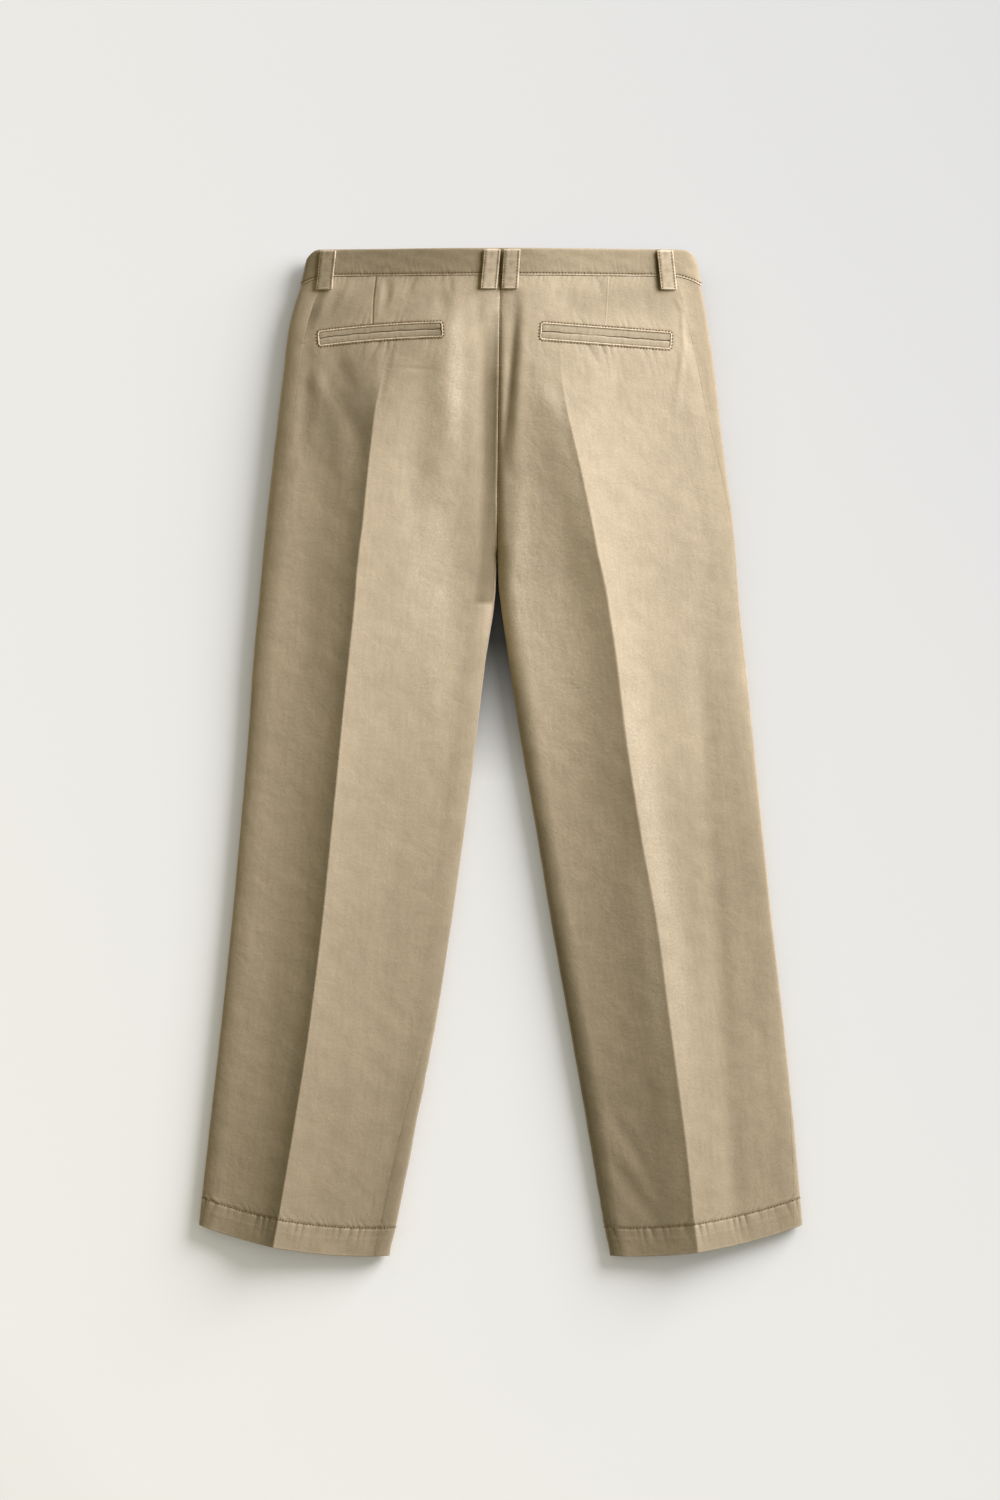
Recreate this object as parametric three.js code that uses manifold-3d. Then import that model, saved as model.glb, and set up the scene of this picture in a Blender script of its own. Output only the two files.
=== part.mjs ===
// Chino trousers laid out on a flat surface with the back uppermost, at real size, in millimetres.
// X runs across the hips, Y towards the waist and Z up from the surface. The front panels lie on the
// surface, the back panels arch over them to a pressed crease, and the legs and the waist stay open.
import * as THREE from "three";
import Module from "manifold-3d";
import { mergeVertices } from "three/addons/utils/BufferGeometryUtils.js";

// Driving sizes
const waistAhead = 519.1; // from the origin forward to the top edge of the back waistband
const seamGap = 0.3; // left between two pieces that are sewn together
const clothWall = 1.2; // twill, with the seam allowances that lie behind it
const bandWall = 2.4; // waistband: two layers and their interlining
const bandProud = 0.7; // how far the waistband stands out from the panels
const bandDown = 28; // top edge of the back waistband to its seam, seen from above
const tabAcross = 17; // the front of the band ends this far past the middle
const crotchDown = 312; // where the four panels meet
const hemDown = 1022; // middle of the hem edge
const hemDepth = 29;
const hemWall = 0.9; // the turned-up allowance inside each hem
const sideDrop = 9; // the waist falls this much on its way to the side
const cornerRound = 13; // width of that fall along the top edge
const seamRound = 32; // and along the waist seam
const frontDrop = 33; // and this much by the middle of the front
const frontLevel = 30; // the front waist seam is level for this much on each side of its middle
const floorRoll = 15; // width of the rounding where a front panel turns up from the surface
const creaseSharpness = 2.4; // power of the pressed crease's flanks

// Each row is one section across the trousers, "down" mm below the top edge of the back waistband.
// out and in are the outline of each leg, across from the origin. crease is its share of the way in.
const outline = {
  columns: ["down", "outLeft", "inLeft", "creaseLeft", "outRight", "inRight", "creaseRight"],
  rows: [
    [0, -200, -0.6, 0.47, 201, -0.6, 0.71],
    [10, -202, -0.6, 0.47, 203.5, -0.6, 0.71],
    [28, -206, -0.8, 0.47, 206.6, -0.8, 0.71],
    [55, -214.6, -1.2, 0.47, 211.5, -1.2, 0.71],
    [85, -220.5, -1.6, 0.47, 215.9, -1.6, 0.71],
    [120, -224.2, -2.0, 0.469, 220.9, -2.0, 0.715],
    [165, -229.5, -2.6, 0.444, 225.6, -2.6, 0.69],
    [220, -235.5, -3.2, 0.431, 231.9, -3.2, 0.642],
    [285, -242.6, -3.8, 0.421, 240, -3.8, 0.596],
    [312, -245.2, -4.2, 0.413, 242.4, -3.6, 0.58],
    [345, -248.1, -4.6, 0.408, 245, -2.6, 0.556],
    [365, -249.9, -6.2, 0.409, 246.4, -0.4, 0.549],
    [420, -255.1, -14.7, 0.412, 252.3, 7.5, 0.544],
    [500, -260.6, -24.6, 0.408, 260.6, 19.3, 0.546],
    [600, -269, -37.2, 0.409, 270.6, 36.4, 0.539],
    [700, -278.3, -51.4, 0.413, 280.9, 52.9, 0.52],
    [800, -288.6, -67.1, 0.413, 292.2, 70.6, 0.527],
    [900, -300, -86.4, 0.408, 302.2, 88.3, 0.53],
    [1006, -311.6, -107.4, 0.395, 311.6, 106.2, 0.542],
    [1040, -315, -114.2, 0.389, 314.8, 112, 0.546],
  ],
};

// Heights above the surface. edge is the rounded outer edge, outer and inner the cloth beside the outer
// and inner edges, middle the cloth at the inner edge and crease how far the crease rises above that.
// fallOut and fallIn are how wide the roll at the outer edge and the dip at the inner one are.
// under is the height of the front panel at the inner edge, and lift its height everywhere else.
const heights = {
  columns: ["down", "edge", "outer", "inner", "middle", "crease", "fallOut", "fallIn", "under", "lift"],
  rows: [
    [0, 13, 24.5, 52, 49.5, 0, 44, 40, 3.6, 3.6],
    [10, 13, 23.6, 50.2, 47.6, 0, 44, 40, 3.6, 3.6],
    [28, 13.5, 22.6, 48, 45.2, 0, 44, 42, 3.6, 3.6],
    [45, 13.5, 23.5, 49, 45, 0, 43, 44, 3.6, 3.6],
    [85, 13.5, 26, 50, 44, 1.5, 40, 44, 0, 0],
    [120, 13.5, 27, 48.5, 42, 5, 36, 40, 0, 0],
    [165, 13, 27, 44, 37.5, 10, 32, 36, 0, 0],
    [220, 12.5, 26, 37, 30.5, 14.5, 28, 30, 0, 0],
    [285, 12, 25, 30.5, 19, 17, 26, 24, 4, 0],
    [305, 12, 24.4, 28.8, 15, 17.3, 25.3, 21, 9, 0],
    [312, 12, 24.2, 28.2, 11, 17.4, 25, 20, 11, 0],
    [345, 12, 23, 25.5, 11, 18, 24, 18, 11, 0],
    [420, 11.5, 21.5, 22.5, 11, 19, 23, 20, 11, 0],
    [500, 11, 20, 21, 10.5, 19, 22, 20, 10.5, 0],
    [600, 10.5, 18.5, 19.5, 10, 18, 22, 20, 10, 0],
    [700, 10, 17.5, 18.5, 9.5, 17, 22, 20, 9.5, 0],
    [800, 9.5, 17, 17.5, 9, 16.5, 21, 19, 9, 0],
    [900, 9, 16.5, 17, 8.5, 16, 20, 18, 8.5, 0],
    [1006, 8.5, 16, 16.5, 8, 15, 18, 17, 8, 0],
    [1040, 8.5, 16, 16.5, 8, 15, 18, 17, 8, 0],
  ],
};

// Where the seams run. side and inside are how far over the top of a leg its side seam and inseam lie, in
// from the outline. tilt is how much nearer the waist the outer end of a section is than its inner end, and
// bow how far its middle hangs below them. fall scales the waist's fall to the side and front, closing goes
// from the open seat to the closed leg, and fly is the front opening, right of the middle.
const seams = {
  columns: [
    "down", "sideLeft", "sideRight", "insideLeft", "insideRight", "tilt", "bow", "fall", "closing", "fly",
  ],
  rows: [
    [0, 26, 27, 0, 0, 0, 0, 1, 0, 8],
    [28, 25, 26, 0, 0, 0, 0, 1, 0, 8],
    [45, 23, 25, 0, 0, 0, 0, 0.95, 0, 8],
    [85, 19, 21, 0, 0, 0, 0, 0.8, 0, 8],
    [165, 15, 14, 0, 0, 0, 0, 0.45, 0, 8],
    [220, 10, 7, 0, 0, 0, 0, 0.2, 0.1, 8],
    [255, 6, 4, 0, 0, 0, 0, 0.05, 0.5, 3],
    [285, 3, 2.5, 0, 0, 0.5, 0, 0, 0.8, 0],
    [305, 2, 2, 0, 0, 1, 0, 0, 0.95, 0],
    [312, 2, 2, 0.6, 0.6, 1.5, 0.2, 0, 1, 0],
    [345, 2, 2, 2, 2, 3, 0.6, 0, 1, 0],
    [500, 2, 2, 2, 2, 9, 2, 0, 1, 0],
    [740, 2, 2, 2, 2, 19, 5.5, 0, 1, 0],
    [860, 2, 2, 13, 2, 24, 8, 0, 1, 0],
    [960, 2, 5, 17, 5, 29, 9.5, 0, 1, 0],
    [1022, 2, 9, 17, 11, 31.5, 10.3, 0, 1, 0],
    [1040, 2, 9, 17, 11, 32, 10.3, 0, 1, 0],
  ],
};

// The largest soft folds, each along a straight line on the back, with x across and "down" as above.
// A positive height is a ridge and a negative one a trough.
const folds = {
  columns: ["x1", "down1", "x2", "down2", "width", "height"],
  rows: [
    [-10, 80, -10, 352, 10, -3.4], // dip left of the back seam, down to the crotch
    [23, 50, 13, 224, 8, 1.5], // fold that hangs from the right-hand middle loop
    [14.5, 50, 4.5, 224, 5.5, -1], // the hollow beside it
    [-50, 45, -56, 250, 14, 2.6], // fold that hangs from the left-hand middle loop
    [-190, 50, -206, 205, 8, -1.6], // hollow along the left side seam
    [-196, 125, -171, 168, 10, 1.4], // slanting folds below the left pocket
    [-168, 172, -160, 262, 13, 1.2],
    [-176, 138, -142, 205, 11, -1.1],
    [31, 106, 52, 170, 12, 0.7], // and below the right pocket
    [62, 118, 70, 185, 11, -0.9],
    [-73, 150, -58, 215, 13, -0.9],
    [118, 905, 150, 970, 13, 1], // drag across the right leg towards its hem
    [118, 945, 158, 1000, 9, -1.1],
  ],
};

// Belt loops on the back: across is the middle of the strap on the waist seam, lean how far its foot is
// moved across, and turn the degrees that it is turned about its own length.
const backLoops = {
  columns: ["name", "side", "across", "lean", "turn"],
  rows: [
    ["loop_side_left", "Left", -180, -3, 4],
    ["loop_middle_left", "Left", -11.2, -2.6, -3],
    ["loop_middle_right", "Right", 10.4, -1.6, -4],
    ["loop_side_right", "Right", 171.5, 3, -4],
  ],
};
const frontLoopAcross = 118;
const loopWidth = 16.5;
const loopWall = 1;
const loopBelow = 14; // how far a loop runs on below the waist seam
const loopReturn = 8; // length of each end that is folded under
const loopClear = 0.4; // between the strap's underside and the cloth
const loopArch = 0.3; // how far the middle of a strap stands above its ends

// Back pockets: the two ends of the mouth, how far its middle bows up, and its height above and below.
const pockets = {
  columns: ["side", "x1", "down1", "x2", "down2", "bow", "above", "below"],
  rows: [
    ["Left", -187, 91.7, -61, 83.2, 1.7, 6.2, 7],
    ["Right", 42, 85.6, 174.5, 94.6, 0, 7.8, 7.3],
  ],
};
const lipWall = 1.1;
const lipSunk = 0.4; // the lips lie this far below the face of the panel
const windowGap = 0.5; // between the lips and the edge of the window

// Fly: distances across from the middle of the front, lengths, and the layers behind the panels.
const zipHalf = 14;
const zipLength = 150;
const shieldFrom = -26;
const shieldTo = 22;
const shieldLength = 172;
const sliderHalf = 4.5;
const tabHalf = 3;
const sliderWall = 1.6;
const zipWall = 0.9;
const shieldWall = 1;
const buttonRadius = 8.5;
const buttonWall = 2.6;
const buttonAcross = 7;
const buttonDown = 14;

function mix(a, b, t) {
  return a + (b - a) * t;
}

function clamp(value, low = 0, high = 1) {
  return Math.min(Math.max(value, low), high);
}

function smooth(t) {
  return clamp(t) ** 2 * (3 - 2 * clamp(t));
}

// Falls from 1 to 0: round like a quarter of an ellipse, or soft like a parabola.
function roundFall(t) {
  return 1 - Math.sqrt(1 - (1 - clamp(t)) ** 2);
}

function softFall(t) {
  return (1 - clamp(t)) ** 2;
}

// Steps from 0 to 1: close together at both ends, close together at the start, or even.
const crowded = (n) => Array.from({ length: n + 1 }, (_, i) => (1 - Math.cos((Math.PI * i) / n)) / 2);
const opening = (n) => Array.from({ length: n + 1 }, (_, i) => 1 - Math.cos((Math.PI * i) / (2 * n)));
const even = (n) => Array.from({ length: n + 1 }, (_, i) => i / n);

// Values of a table at a distance down the trousers, on smooth curves through its rows.
function reader({ columns, rows }) {
  const steep = (i, c) => (rows[i + 1][c] - rows[i][c]) / (rows[i + 1][0] - rows[i][0]);
  const slope = (i, c) => {
    if (i === 0 || i === rows.length - 1) return 0;
    const before = steep(i - 1, c);
    const after = steep(i, c);
    return before * after > 0 ? (2 * before * after) / (before + after) : 0;
  };
  const slopes = rows.map((row, i) => row.map((_, c) => slope(i, c)));
  return (down) => {
    const d = clamp(down, rows[0][0], rows[rows.length - 1][0]);
    let i = 0;
    while (i < rows.length - 2 && d > rows[i + 1][0]) i += 1;
    const step = rows[i + 1][0] - rows[i][0];
    const t = (d - rows[i][0]) / step;
    const value = (c) => {
      const line = mix(rows[i][c], rows[i + 1][c], smooth(t));
      return line + t * (1 - t) * step * ((1 - t) * slopes[i][c] - t * slopes[i + 1][c]);
    };
    return Object.fromEntries(columns.map((name, c) => [name, value(c)]));
  };
}

const outlineAt = reader(outline);
const heightsAt = reader(heights);
const seamsAt = reader(seams);

// The section of one leg, or of one half of the seat above the crotch. side is "Left" or "Right".
function sectionAt(side, down) {
  const seam = seamsAt(down);
  const out = outlineAt(down - seam.tilt / 2)["out" + side];
  const inn = outlineAt(down + seam.tilt / 2)["in" + side];
  return {
    ...heightsAt(down),
    ...seam,
    down,
    out,
    inn,
    width: Math.abs(inn - out),
    creaseAt: outlineAt(down)["crease" + side],
    sideSeam: seam["side" + side],
    inseam: seam["inside" + side],
    open: down < crotchDown,
  };
}

// Height that the soft folds add at a place on the back.
function foldsAt(x, down) {
  return folds.rows.reduce((sum, [x1, down1, x2, down2, width, height]) => {
    const dx = x2 - x1;
    const dy = down2 - down1;
    const along = clamp(((x - x1) * dx + (down - down1) * dy) / (dx * dx + dy * dy));
    const away = Math.hypot(x - x1 - along * dx, down - down1 - along * dy);
    const ends = Math.sqrt(Math.sin(Math.PI * mix(0.06, 0.94, along)));
    return sum + height * ends * Math.exp(-((away / width) ** 2));
  }, 0);
}

function topHeight(section, inwards, x, down) {
  const share = inwards / section.width;
  const crease = section.creaseAt;
  const flank = share < crease ? 1 - share / crease : (share - crease) / (1 - crease);
  const rise = section.crease * (1 - clamp(flank)) ** creaseSharpness;
  const outRoll = roundFall(inwards / section.fallOut);
  const near = (section.width - inwards) / section.fallIn;
  const inRoll = mix(softFall(near), roundFall(near), section.closing);
  const cloth = mix(section.outer, section.inner, smooth(share));
  const edges = (section.outer - section.edge) * outRoll + (section.inner - section.middle) * inRoll;
  return cloth + rise - edges + foldsAt(x, down) * (1 - outRoll) * (1 - section.closing * inRoll);
}

function underHeight(section, inwards) {
  const outside = (section.edge - section.lift) * roundFall(inwards / floorRoll);
  const inside = (section.under - section.lift) * roundFall((section.width - inwards) / floorRoll);
  return section.lift + outside + inside;
}

// A point on the outside of a section. around is measured in from the outer edge: over the top where it is
// positive, and underneath where it is negative. On a leg it carries on past the inner edge.
function ringPoint(section, around) {
  const { width } = section;
  let place = around;
  if (!section.open && place > width) place -= 2 * width;
  if (!section.open && place < -width) place += 2 * width;
  const top = place >= 0;
  const inwards = Math.abs(place);
  const share = inwards / width;
  const x = mix(section.out, section.inn, share);
  const sideReach = mix(cornerRound, seamRound, smooth(section.down / bandDown));
  const sideFall = sideDrop * softFall(inwards / sideReach);
  const frontFall = mix(sideDrop, frontDrop, smooth(inwards / (width - frontLevel)));
  const bow = section.bow * 4 * share * (1 - share) * (top ? 1 : 0.5);
  const fall = section.fall * (top ? sideFall : frontFall);
  const down = section.down + section.tilt * (share - 0.5) + bow + fall;
  const z = top ? topHeight(section, inwards, x, down) : underHeight(section, inwards);
  return new THREE.Vector3(x, waistAhead - down, z);
}

// The outward normal at a place. Above the crotch the top ends in the middle, and is measured to there.
function ringNormal(side, down, around) {
  const nudge = 0.8;
  const section = sectionAt(side, down);
  const far = section.open && around > 0 ? Math.min(around + nudge, section.width) : around + nudge;
  const across = ringPoint(section, far).sub(ringPoint(section, around - nudge));
  const before = sectionAt(side, Math.max(down - 2, 0));
  const after = sectionAt(side, down + 2);
  const along = ringPoint(after, (around * after.width) / section.width);
  along.sub(ringPoint(before, (around * before.width) / section.width));
  return along.cross(across).multiplyScalar(side === "Left" ? 1 : -1).normalize();
}

function pointOn(side, [down, around], proud = 0) {
  const point = ringPoint(sectionAt(side, down), around);
  return point.addScaledVector(ringNormal(side, down, around), proud);
}

// The place [down, around] on the back that shows at a distance across and down in the view from above.
function placeOf(side, x, showsDown) {
  let down = showsDown;
  let around = 0;
  for (let i = 0; i < 8; i += 1) {
    const section = sectionAt(side, down);
    around = ((x - section.out) / (section.inn - section.out)) * section.width;
    down += showsDown - (waistAhead - ringPoint(section, around).y);
  }
  return [down, around];
}

// A geometry from points and triangles, turned so that its faces point out.
function closed(points, index) {
  let volume = 0;
  for (let i = 0; i < index.length; i += 3) {
    const [a, b, c] = [points[index[i]], points[index[i + 1]], points[index[i + 2]]];
    volume += a.dot(new THREE.Vector3().crossVectors(b, c));
  }
  if (volume < 0) index.reverse();
  const geometry = new THREE.BufferGeometry().setFromPoints(points);
  geometry.setIndex(index);
  geometry.computeVertexNormals();
  return geometry;
}

// A closed body from two matching grids of points, its outer and inner faces. A ring joins up at its ends.
function body(outer, inner, ring) {
  const rows = outer.length;
  const columns = outer[0].length;
  const index = [];
  const at = (layer, i, j) => (layer * rows + i) * columns + (j % columns);
  const quad = (a, b, c, d) => index.push(a, b, c, a, c, d);
  const steps = ring ? columns : columns - 1;
  for (let i = 0; i < rows - 1; i += 1) {
    for (let j = 0; j < steps; j += 1) {
      quad(at(0, i, j), at(0, i + 1, j), at(0, i + 1, j + 1), at(0, i, j + 1));
      quad(at(1, i, j), at(1, i, j + 1), at(1, i + 1, j + 1), at(1, i + 1, j));
    }
    if (!ring) {
      quad(at(0, i, 0), at(1, i, 0), at(1, i + 1, 0), at(0, i + 1, 0));
      quad(at(0, i, steps), at(0, i + 1, steps), at(1, i + 1, steps), at(1, i, steps));
    }
  }
  for (let j = 0; j < steps; j += 1) {
    quad(at(0, 0, j), at(0, 0, j + 1), at(1, 0, j + 1), at(1, 0, j));
    quad(at(0, rows - 1, j), at(1, rows - 1, j), at(1, rows - 1, j + 1), at(0, rows - 1, j + 1));
  }
  return closed([...outer.flat(), ...inner.flat()], index);
}

// A wall of cloth through a grid of places, with its outside face that far proud of the sections.
function wall(side, places, thickness, proud = 0, ring = false) {
  const outer = places.map((row) => row.map((place) => pointOn(side, place, proud)));
  const inner = places.map((row) => row.map((place) => pointOn(side, place, proud - thickness)));
  return body(outer, inner, ring);
}

// Columns of a back panel: from the side seam over the crease to the back seam or the inseam.
function backColumns(section) {
  const crease = section.creaseAt * section.width;
  const start = section.sideSeam + seamGap / 2;
  const end = section.width - section.inseam - seamGap / 2;
  const outerPart = crowded(7).map((t) => mix(start, crease, t));
  const innerPart = crowded(7).map((t) => mix(crease, end, t));
  return [...outerPart, ...innerPart.slice(1)];
}

// Columns of a front panel: from the side seam on top, round the outer edge and across underneath to the fly
// or front seam or, on a leg, round the inner edge to the inseam on top.
function frontColumns(section, pastMiddle) {
  const { width } = section;
  const overTop = opening(3).map((t) => (section.sideSeam - seamGap / 2) * t);
  const underneath = (end) => crowded(9).map((t) => -end * t);
  if (section.open) {
    const turn = width - frontLevel;
    const end = width + pastMiddle - seamGap / 2;
    const front = even(3).map((t) => -mix(turn, end, t));
    return [...overTop.reverse(), ...underneath(turn).slice(1), ...front.slice(1)];
  }
  const roundInside = opening(3).map((t) => -width - (section.inseam - seamGap / 2) * t);
  return [...overTop.reverse(), ...underneath(width).slice(1), ...roundInside.slice(1)];
}

// The fly's edge lies right of the middle, so it lengthens the left front and shortens the right one.
const flyWay = { Left: 1, Right: -1 };

const panelDowns = [
  bandDown + seamGap / 2, 45, 62, 85, 105, 130, 155, 185, 220, 255, 285, 305, 312, 325, 345, 365, 395, 430,
  475, 520, 570, 620, 670, 720, 770, 820, 870, 915, 955, 990, 1008, hemDown,
];

function backPanel(side) {
  const places = panelDowns.map((down) => backColumns(sectionAt(side, down)).map((around) => [down, around]));
  return wall(side, places, clothWall);
}

function frontPanel(side) {
  const places = panelDowns.map((down) => {
    const section = sectionAt(side, down);
    return frontColumns(section, flyWay[side] * section.fly).map((around) => [down, around]);
  });
  return wall(side, places, clothWall);
}

// Half the waistband, from the middle of the back round the side to the middle of the front.
function waistband(side) {
  const places = [0, 10, 19, bandDown - seamGap / 2].map((down) => {
    const section = sectionAt(side, down);
    const front = frontColumns(section, flyWay[side] * tabAcross).slice(1);
    return [...backColumns(section).reverse(), ...front].map((around) => [down, around]);
  });
  return wall(side, places, bandWall, bandProud);
}

// The allowance turned up inside a hem: a ring that lies against the inside of both panels.
function hem(side) {
  const places = [hemDown - hemDepth, 1008, hemDown - seamGap].map((down) => {
    const section = sectionAt(side, down);
    const front = frontColumns(section, 0).reverse().slice(1, -1);
    return [...backColumns(section), ...front].map((around) => [down, around]);
  });
  return wall(side, places, hemWall, -clothWall - seamGap, true);
}

// The outline of a strap of even thickness along a line of points.
function ribbon(line, thickness) {
  const offset = (i, way) => {
    const before = line[Math.max(i - 1, 0)];
    const after = line[Math.min(i + 1, line.length - 1)];
    const along = after.clone().sub(before).normalize();
    return new THREE.Vector2(-along.y, along.x).multiplyScalar((way * thickness) / 2).add(line[i]);
  };
  const left = line.map((_, i) => offset(i, 1));
  const right = line.map((_, i) => offset(i, -1));
  return new THREE.Shape([...left, ...right.reverse()]);
}

// A belt loop seen from its side: along the trousers, and up from the cloth. Both ends are folded under.
function loopProfile() {
  const bend = loopWall * 0.7;
  const low = loopClear + loopWall / 2;
  const high = low + 2 * bend;
  const top = bend + loopWall / 2 + 1;
  const foot = bandDown + loopBelow - bend - loopWall / 2;
  const turned = (middle, way) =>
    even(6).map((t) => {
      const angle = Math.PI * (t - 0.5);
      return new THREE.Vector2(middle - way * bend * Math.cos(angle), low + bend + bend * Math.sin(angle));
    });
  const middle = even(8).slice(1, -1);
  const strap = middle.map((t) => new THREE.Vector2(mix(top, foot, t), high + loopArch * Math.sin(Math.PI * t)));
  const start = new THREE.Vector2(top + loopReturn, low);
  const end = new THREE.Vector2(foot - loopReturn, low);
  return ribbon([start, ...turned(top, 1), ...strap, ...turned(foot, -1).reverse(), end], loopWall);
}

function backLoop(side, across, lean, turn) {
  const extruded = new THREE.ExtrudeGeometry(loopProfile(), { depth: loopWidth, bevelEnabled: false });
  const geometry = merged(extruded);
  const position = geometry.getAttribute("position");
  const angle = THREE.MathUtils.degToRad(turn);
  const raised = (loopWidth / 2) * Math.abs(Math.sin(angle));
  const points = Array.from({ length: position.count }, (_, i) => {
    const down = position.getX(i);
    const sideways = position.getZ(i) - loopWidth / 2;
    const x = across + lean * (down / bandDown - 1) + sideways * Math.cos(angle);
    const proud = bandProud + raised + position.getY(i) + sideways * Math.sin(angle);
    return pointOn(side, placeOf(side, x, down), proud);
  });
  return closed(points, Array.from(geometry.index.array));
}

// A front loop is pressed flat between the band and the surface.
function frontLoop(side) {
  const places = even(5).map((t) => {
    const down = mix(1, bandDown + loopBelow, t);
    const middle = sectionAt(side, down).width - frontLoopAcross;
    return [-1, 0, 1].map((way) => [down, -(middle + (way * loopWidth) / 2)]);
  });
  return wall(side, places, loopWall, bandProud + seamGap + loopWall);
}

// A point on the mouth of a pocket, a share of the way along it and an amount below it.
function mouthPoint(pocket, share, below) {
  const { x1, down1, x2, down2, bow } = pocket;
  const lowered = below - bow * 4 * share * (1 - share);
  const length = Math.hypot(x2 - x1, down2 - down1);
  const x = mix(x1, x2, share) - ((down2 - down1) / length) * lowered;
  return [x, mix(down1, down2, share) + ((x2 - x1) / length) * lowered];
}

function lip(pocket, from, to) {
  const edge = windowGap / Math.hypot(pocket.x2 - pocket.x1, pocket.down2 - pocket.down1);
  const places = [from, to].map((below) =>
    even(10).map((t) => placeOf(pocket.side, ...mouthPoint(pocket, mix(edge, 1 - edge, t), below))),
  );
  return wall(pocket.side, places, lipWall, -lipSunk);
}

// A prism through the whole panel, over the window of a pocket.
function windowCutter(pocket) {
  const toPlan = ([x, down]) => new THREE.Vector2(x, waistAhead - down);
  const upper = even(10).map((t) => toPlan(mouthPoint(pocket, t, -pocket.above)));
  const lower = even(10).map((t) => toPlan(mouthPoint(pocket, t, pocket.below)));
  const cutterDepth = 90;
  const shape = new THREE.Shape([...upper, ...lower.reverse()]);
  return new THREE.ExtrudeGeometry(shape, { depth: cutterDepth, bevelEnabled: false });
}

// A geometry with its positions alone, and its shared corners merged.
function merged(geometry) {
  const plain = geometry.clone();
  plain.deleteAttribute("normal");
  plain.deleteAttribute("uv");
  return mergeVertices(plain, 1e-4);
}

const wasm = await Module();
wasm.setup();

function toSolid(geometry) {
  const plain = merged(geometry);
  const vertProperties = new Float32Array(plain.getAttribute("position").array);
  const triVerts = new Uint32Array(plain.index.array);
  return new wasm.Manifold(new wasm.Mesh({ numProp: 3, vertProperties, triVerts }));
}

function fromSolid(solid) {
  const { vertProperties, triVerts } = solid.getMesh();
  const geometry = new THREE.BufferGeometry();
  geometry.setAttribute("position", new THREE.BufferAttribute(vertProperties, 3));
  geometry.setIndex(new THREE.BufferAttribute(triVerts, 1));
  geometry.computeVertexNormals();
  return geometry;
}

// A strip behind the fly: rows down it, and how far it reaches across from the middle on each row.
function flyStrip(downs, reaches, inside, thickness) {
  const places = downs.map((down, i) => {
    const { width } = sectionAt("Left", down);
    const [from, to] = reaches[Math.min(i, reaches.length - 1)];
    return [from, (from + to) / 2, to].map((across) => [down, -width - across]);
  });
  return wall("Left", places, thickness, -inside);
}

const twill = new THREE.MeshStandardMaterial({ color: 0xb9a27c, roughness: 0.92, metalness: 0 });
const brass = new THREE.MeshStandardMaterial({ color: 0x8d7442, roughness: 0.45, metalness: 0.9 });
const horn = new THREE.MeshStandardMaterial({ color: 0x6f5a3e, roughness: 0.5, metalness: 0 });

const trousers = new THREE.Group();

function add(name, geometry, material = twill) {
  const mesh = new THREE.Mesh(geometry, material.clone());
  mesh.name = name;
  trousers.add(mesh);
  return mesh;
}

for (const row of pockets.rows) {
  const pocket = Object.fromEntries(pockets.columns.map((column, c) => [column, row[c]]));
  const { side, above, below } = pocket;
  const hand = side.toLowerCase();
  add(`back_${hand}`, fromSolid(toSolid(backPanel(side)).subtract(toSolid(windowCutter(pocket)))));
  add(`front_${hand}`, frontPanel(side));
  add(`waistband_${hand}`, waistband(side));
  add(`hem_${hand}`, hem(side));
  add(`loop_front_${hand}`, frontLoop(side));
  add(`pocket_${hand}_upper_lip`, lip(pocket, windowGap - above, -seamGap / 2));
  add(`pocket_${hand}_lower_lip`, lip(pocket, seamGap / 2, below - windowGap));
}

for (const [name, side, across, lean, turn] of backLoops.rows) add(name, backLoop(side, across, lean, turn));

const sliderInside = clothWall + seamGap;
const zipInside = sliderInside + sliderWall + seamGap;
const shieldInside = zipInside + zipWall + seamGap;
const stripDowns = (length) => [30, 45, 62, 85, 105, 130, 155, bandDown + length];
const sliderReaches = [[-sliderHalf, sliderHalf], [-sliderHalf, sliderHalf], [-tabHalf, tabHalf]];
add("zip_slider", flyStrip([32, 45, 46, 62], sliderReaches, sliderInside, sliderWall), brass);
add("zip_tape", flyStrip(stripDowns(zipLength), [[-zipHalf, zipHalf]], zipInside, zipWall));
add("fly_shield", flyStrip(stripDowns(shieldLength), [[shieldFrom, shieldTo]], shieldInside, shieldWall));

const disc = new THREE.CylinderGeometry(buttonRadius, buttonRadius, buttonWall, 24);
const button = add("waist_button", disc, horn);
button.rotation.x = Math.PI / 2;
button.position.set(buttonAcross, waistAhead - buttonDown - frontDrop, buttonWall / 2);

export default trousers;
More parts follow.
